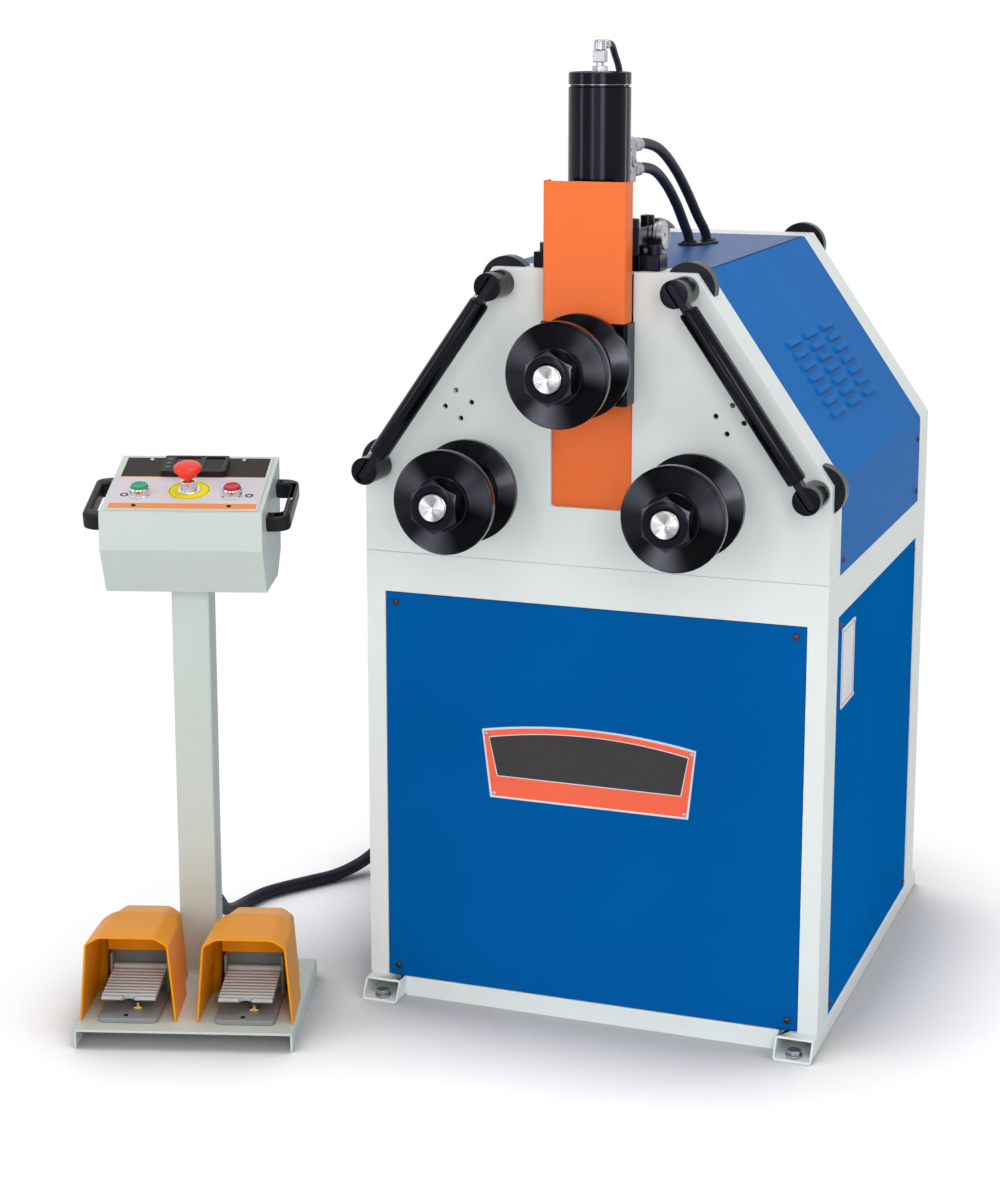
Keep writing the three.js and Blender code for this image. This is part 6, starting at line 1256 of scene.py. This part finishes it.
def pedal(tag, x):
    pedal_hood(tag, x)
    outline = [(x - 46.5, -123, 12), (x + 46.5, -123, 12), (x + 46.5, 60, 6), (x - 46.5, 60, 6)]
    slab(f"pedal_sole_{tag}", [eased(outline, 6, closed=True, steps=6)], SOLE_Z, SOLE_Z + 8, 1.2, SOLE_METAL,
         STAND)
    milled(f"pedal_switch_{tag}", (x - 46.4, x + 46.4), (4, 70.2), (38.2, 100.2), 2, SWITCH_GREY, place=STAND)
    for name, across in (("inner", (x - 46.5, x - 42.5)), ("outer", (x + 42.5, x + 46.5))):
        milled(f"pedal_ear_{tag}_{name}", across, (-18, 4.3), (38.2, 100.2), 1, SOLE_METAL, place=STAND)
    milled(f"pedal_screen_{tag}", (x - 52, x + 52), (-3.2, 1), (101, 152), 0.8, YELLOW_PAINT, place=STAND)
    turned(f"pedal_stop_{tag}", facing("up", x + 10, -85, 0, STAND), STUD, BRASS, sides=36)
    fasteners(f"sole_screw_{tag}", SMALL_SCREW, [(STAND @ Vector((x - 4, -112, 38.3)), UP)], BLACK_SATIN, 13)
    softened(f"pedal_tread_{tag}", 0.5, TREAD_METAL, body=f"{tag}_tread")


for tag, side in SIDES:
    pedal(tag, side * 90)
print("pedals on the base at z =", SOLE_Z)

# %% [markdown]
# ## Cable glands
# A gland is a lock nut, a hexagon body and a domed cap that grips the cord. Both are turned from the
# same profile, and their mouths leave the cord half a millimetre of air.

# %% Glands
gland = [(11.6, 0), (19.4, 0), (19.4, 2), (18.6, 2.6), (17.2, 2.8), (17.2, 3.2, "hex"), (17.2, 9.6, "hex"),
         (16.9, 10.6, "crown"), (14.6, 11), (14.6, 12), (16.4, 12.2, "hex"), (16.4, 20, "hex"),
         (16, 21, "crown"), (15, 21.2), (14.6, 24), (13.9, 32), (13, 38), (12.4, 41.2), (11.7, 41.9),
         (11.5, 41), (11.5, 20), (11.6, 0)]
turned("stand_gland_fine", facing("back", *STAND_GLAND, STAND), gland, BLACK_PLASTIC, "stand_gland")
turned("cabinet_gland_fine", facing("left", *CABINET_GLAND), gland, BLACK_PLASTIC, "cabinet_gland")
print("glands at", STAND_GLAND, CABINET_GLAND)

# %% [markdown]
# ## Plates without words
# The real machine carries a name badge on its front and a data plate on its side. Here both are
# bare, but they are finished: a polished rim, an orange field and a dark field, each a thin layer on
# the one below, and a brushed aluminium plate with a fine frame.

# %% Badge
def badge_loop(inset, low=348.0, high=457.0, rise=64.0, steps=24):
    """The badge's outline moved inwards: sides that lean a little and a top in a shallow arch."""
    left, right = -174.5 + inset, 169.5 - inset
    shares = [k / steps for k in range(steps + 1)]
    top = [(right + (left - right) * t, high - inset + rise * t * (1 - t)) for t in shares]
    return [(-161 + inset, low + inset), (158.5 - inset, low + inset), *top]


for name, loop, low_y, high_y, look in (
    ("badge_rim", badge_loop(0), -1.6, -0.9, CHROME),
    ("badge_field", badge_loop(3.2), -1.0, -0.7, BADGE_ORANGE),
    ("badge_line", badge_loop(11.2, low=372), -0.75, -0.5, CHROME),
    ("badge_centre", badge_loop(12.6, low=372), -0.55, -0.38, BADGE_DARK),
):
    slab(name, [loop], low_y, high_y, 0.08, look, FRONT)
badge_screws = [(at(x, 0.9, z), Vector((0, -1, 0))) for x, z in
                ((-167.5, 450), (162.5, 450), (-154.5, 355), (152, 355))]
fasteners("badge_screws", SMALL_SCREW, badge_screws, ZINC, 9)

# %% Data plate
PLATE = facing("right", 0, 0, 0)
slab("data_plate", [box_loop((-638, -512), (103, 195), 5)], 363.9, 364.7, 0.15, PLATE_METAL, PLATE)
frame_loops = [box_loop((-632, -518), (109, 189), 3), box_loop((-630.8, -519.2), (110.2, 187.8), 2.6)]
slab("data_plate_frame", frame_loops, 364.6, 364.85, 0.04, BADGE_DARK, PLATE)
rivets = [(at(364.5, y, z), Vector((1, 0, 0))) for y in (107, 191) for z in (516, 634)]
fasteners("data_plate_rivets", SMALL_SCREW, rivets, ZINC, 10)

# %% [markdown]
# ## Light, floor and background
# Camera, glossy and glass rays see a white world; the rays that light the machine see a dimmer one.
# The floor is a grey matt sheet lifted by a glow, and the glow is darker where the ambient occlusion
# finds something near: a painted contact shadow. Further out it fades to white. Six lamps give the long
# bright lines.

# %% World and floor
def seen_directly(tree):
    """1 for camera, glossy and glass rays, and 0 for the rays that light things."""
    rays = tree.nodes.new("ShaderNodeLightPath").outputs
    seen = wired(tree, "ShaderNodeMath", {0: rays["Is Camera Ray"], 1: rays["Is Glossy Ray"]},
                 operation="MAXIMUM")
    return wired(tree, "ShaderNodeMath", {0: seen, 1: rays["Is Transmission Ray"]}, operation="MAXIMUM")


scene.world = bpy.data.worlds.new("studio")
scene.world.use_nodes = True
tree = scene.world.node_tree
tree.nodes.clear()
soft = wired(tree, "ShaderNodeBackground", {"Color": (1, 1, 1, 1), "Strength": 0.42})
white = wired(tree, "ShaderNodeBackground", {"Color": (1, 1, 1, 1), "Strength": 1.0})
sky = wired(tree, "ShaderNodeMixShader", {"Fac": seen_directly(tree), 1: soft, 2: white})
feed(tree.nodes.new("ShaderNodeOutputWorld").inputs["Surface"], sky)

FLOOR = shaded("studio_floor", {
    "Base Color": (0.5, 0.5, 0.5, 1), "Roughness": 0.9, "Specular IOR Level": 0.0})
tree = FLOOR.node_tree
direct = seen_directly(tree)
# Painted contact shadow: the floor's glow is cut where the ambient occlusion finds the machine near.
near = wired(tree, "ShaderNodeAmbientOcclusion", {"Distance": 0.36}, out="AO", samples=16)
painted_shadow_openness = wired(tree, "ShaderNodeMapRange", {"Value": near, "From Min": 0.5, "From Max": 0.97})
lift = wired(tree, "ShaderNodeEmission", {"Color": painted_shadow_openness, "Strength": 0.66})
matt = tree.nodes["Principled BSDF"].outputs["BSDF"]
lifted = wired(tree, "ShaderNodeAddShader", {0: matt, 1: lift})
bounce = wired(tree, "ShaderNodeBsdfDiffuse", {"Color": (0.86, 0.86, 0.86, 1)})
plain = wired(tree, "ShaderNodeMixShader", {"Fac": direct, 1: bounce, 2: lifted})
place = wired(tree, "ShaderNodeTexCoord", out="Object")
away = wired(tree, "ShaderNodeVectorMath", {0: place}, out="Value", operation="LENGTH")
fade = wired(tree, "ShaderNodeMapRange", {"Value": away, "From Min": 0.8, "From Max": 1.7},
             interpolation_type="SMOOTHSTEP")
share = wired(tree, "ShaderNodeMath", {0: fade, 1: direct}, operation="MULTIPLY")
bright = wired(tree, "ShaderNodeEmission", {"Strength": 1.0})
far = wired(tree, "ShaderNodeMixShader", {"Fac": share, 1: plain, 2: bright})
feed(tree.nodes["Material Output"].inputs["Surface"], far)
sheet = bmesh.new()
FLOOR_R = 14
bmesh.ops.create_circle(sheet, cap_ends=True, radius=FLOOR_R, segments=96)
floor = piece_from("studio_floor", sheet, FLOOR)
print("floor radius:", FLOOR_R, "m")


# %% Lamps
def lamp(name, place, target, size, power):
    """A rectangular area lamp aimed at a target; size is (width, height) in metres."""
    light = bpy.data.lights.new(name, "AREA")
    light.shape = "RECTANGLE"
    light.size, light.size_y = size
    light.energy = power
    holder = linked(name, light)
    holder.location = place
    holder.rotation_mode = "QUATERNION"
    holder.rotation_quaternion = (Vector(target) - Vector(place)).to_track_quat("-Z", "Y")


lamp("overhead_softbox", (0.5, -0.6, 4.0), (0.2, 0, 0.3), (1.8, 2.8), 46)
lamp("low_fill", (0.2, -5.2, 0.9), (0, 0, 0.5), (3.2, 1.2), 14)
lamp("left_strip", (-3.5, -3.1, 1.9), (0.2, -0.1, 1.0), (0.8, 2.4), 30)
lamp("inner_strip", (-0.3, -4.1, 2.0), (0.2, -0.1, 1.1), (0.5, 2.2), 18)
lamp("near_strip", (2.1, -3.7, 2.0), (0.2, -0.1, 1.1), (1.1, 2.2), 50)
lamp("right_strip", (2.5, 1.8, 1.9), (0.2, -0.1, 1.1), (0.3, 2.4), 14)
print("lamps:", len(bpy.data.lights))

# %% Last things
for screw in PATTERNS:
    bpy.data.objects.remove(screw)
scene.view_settings.view_transform = "Standard"
left_plain = [name for name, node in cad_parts.items() if not node.hide_render]
print("solids still shown:", left_plain)
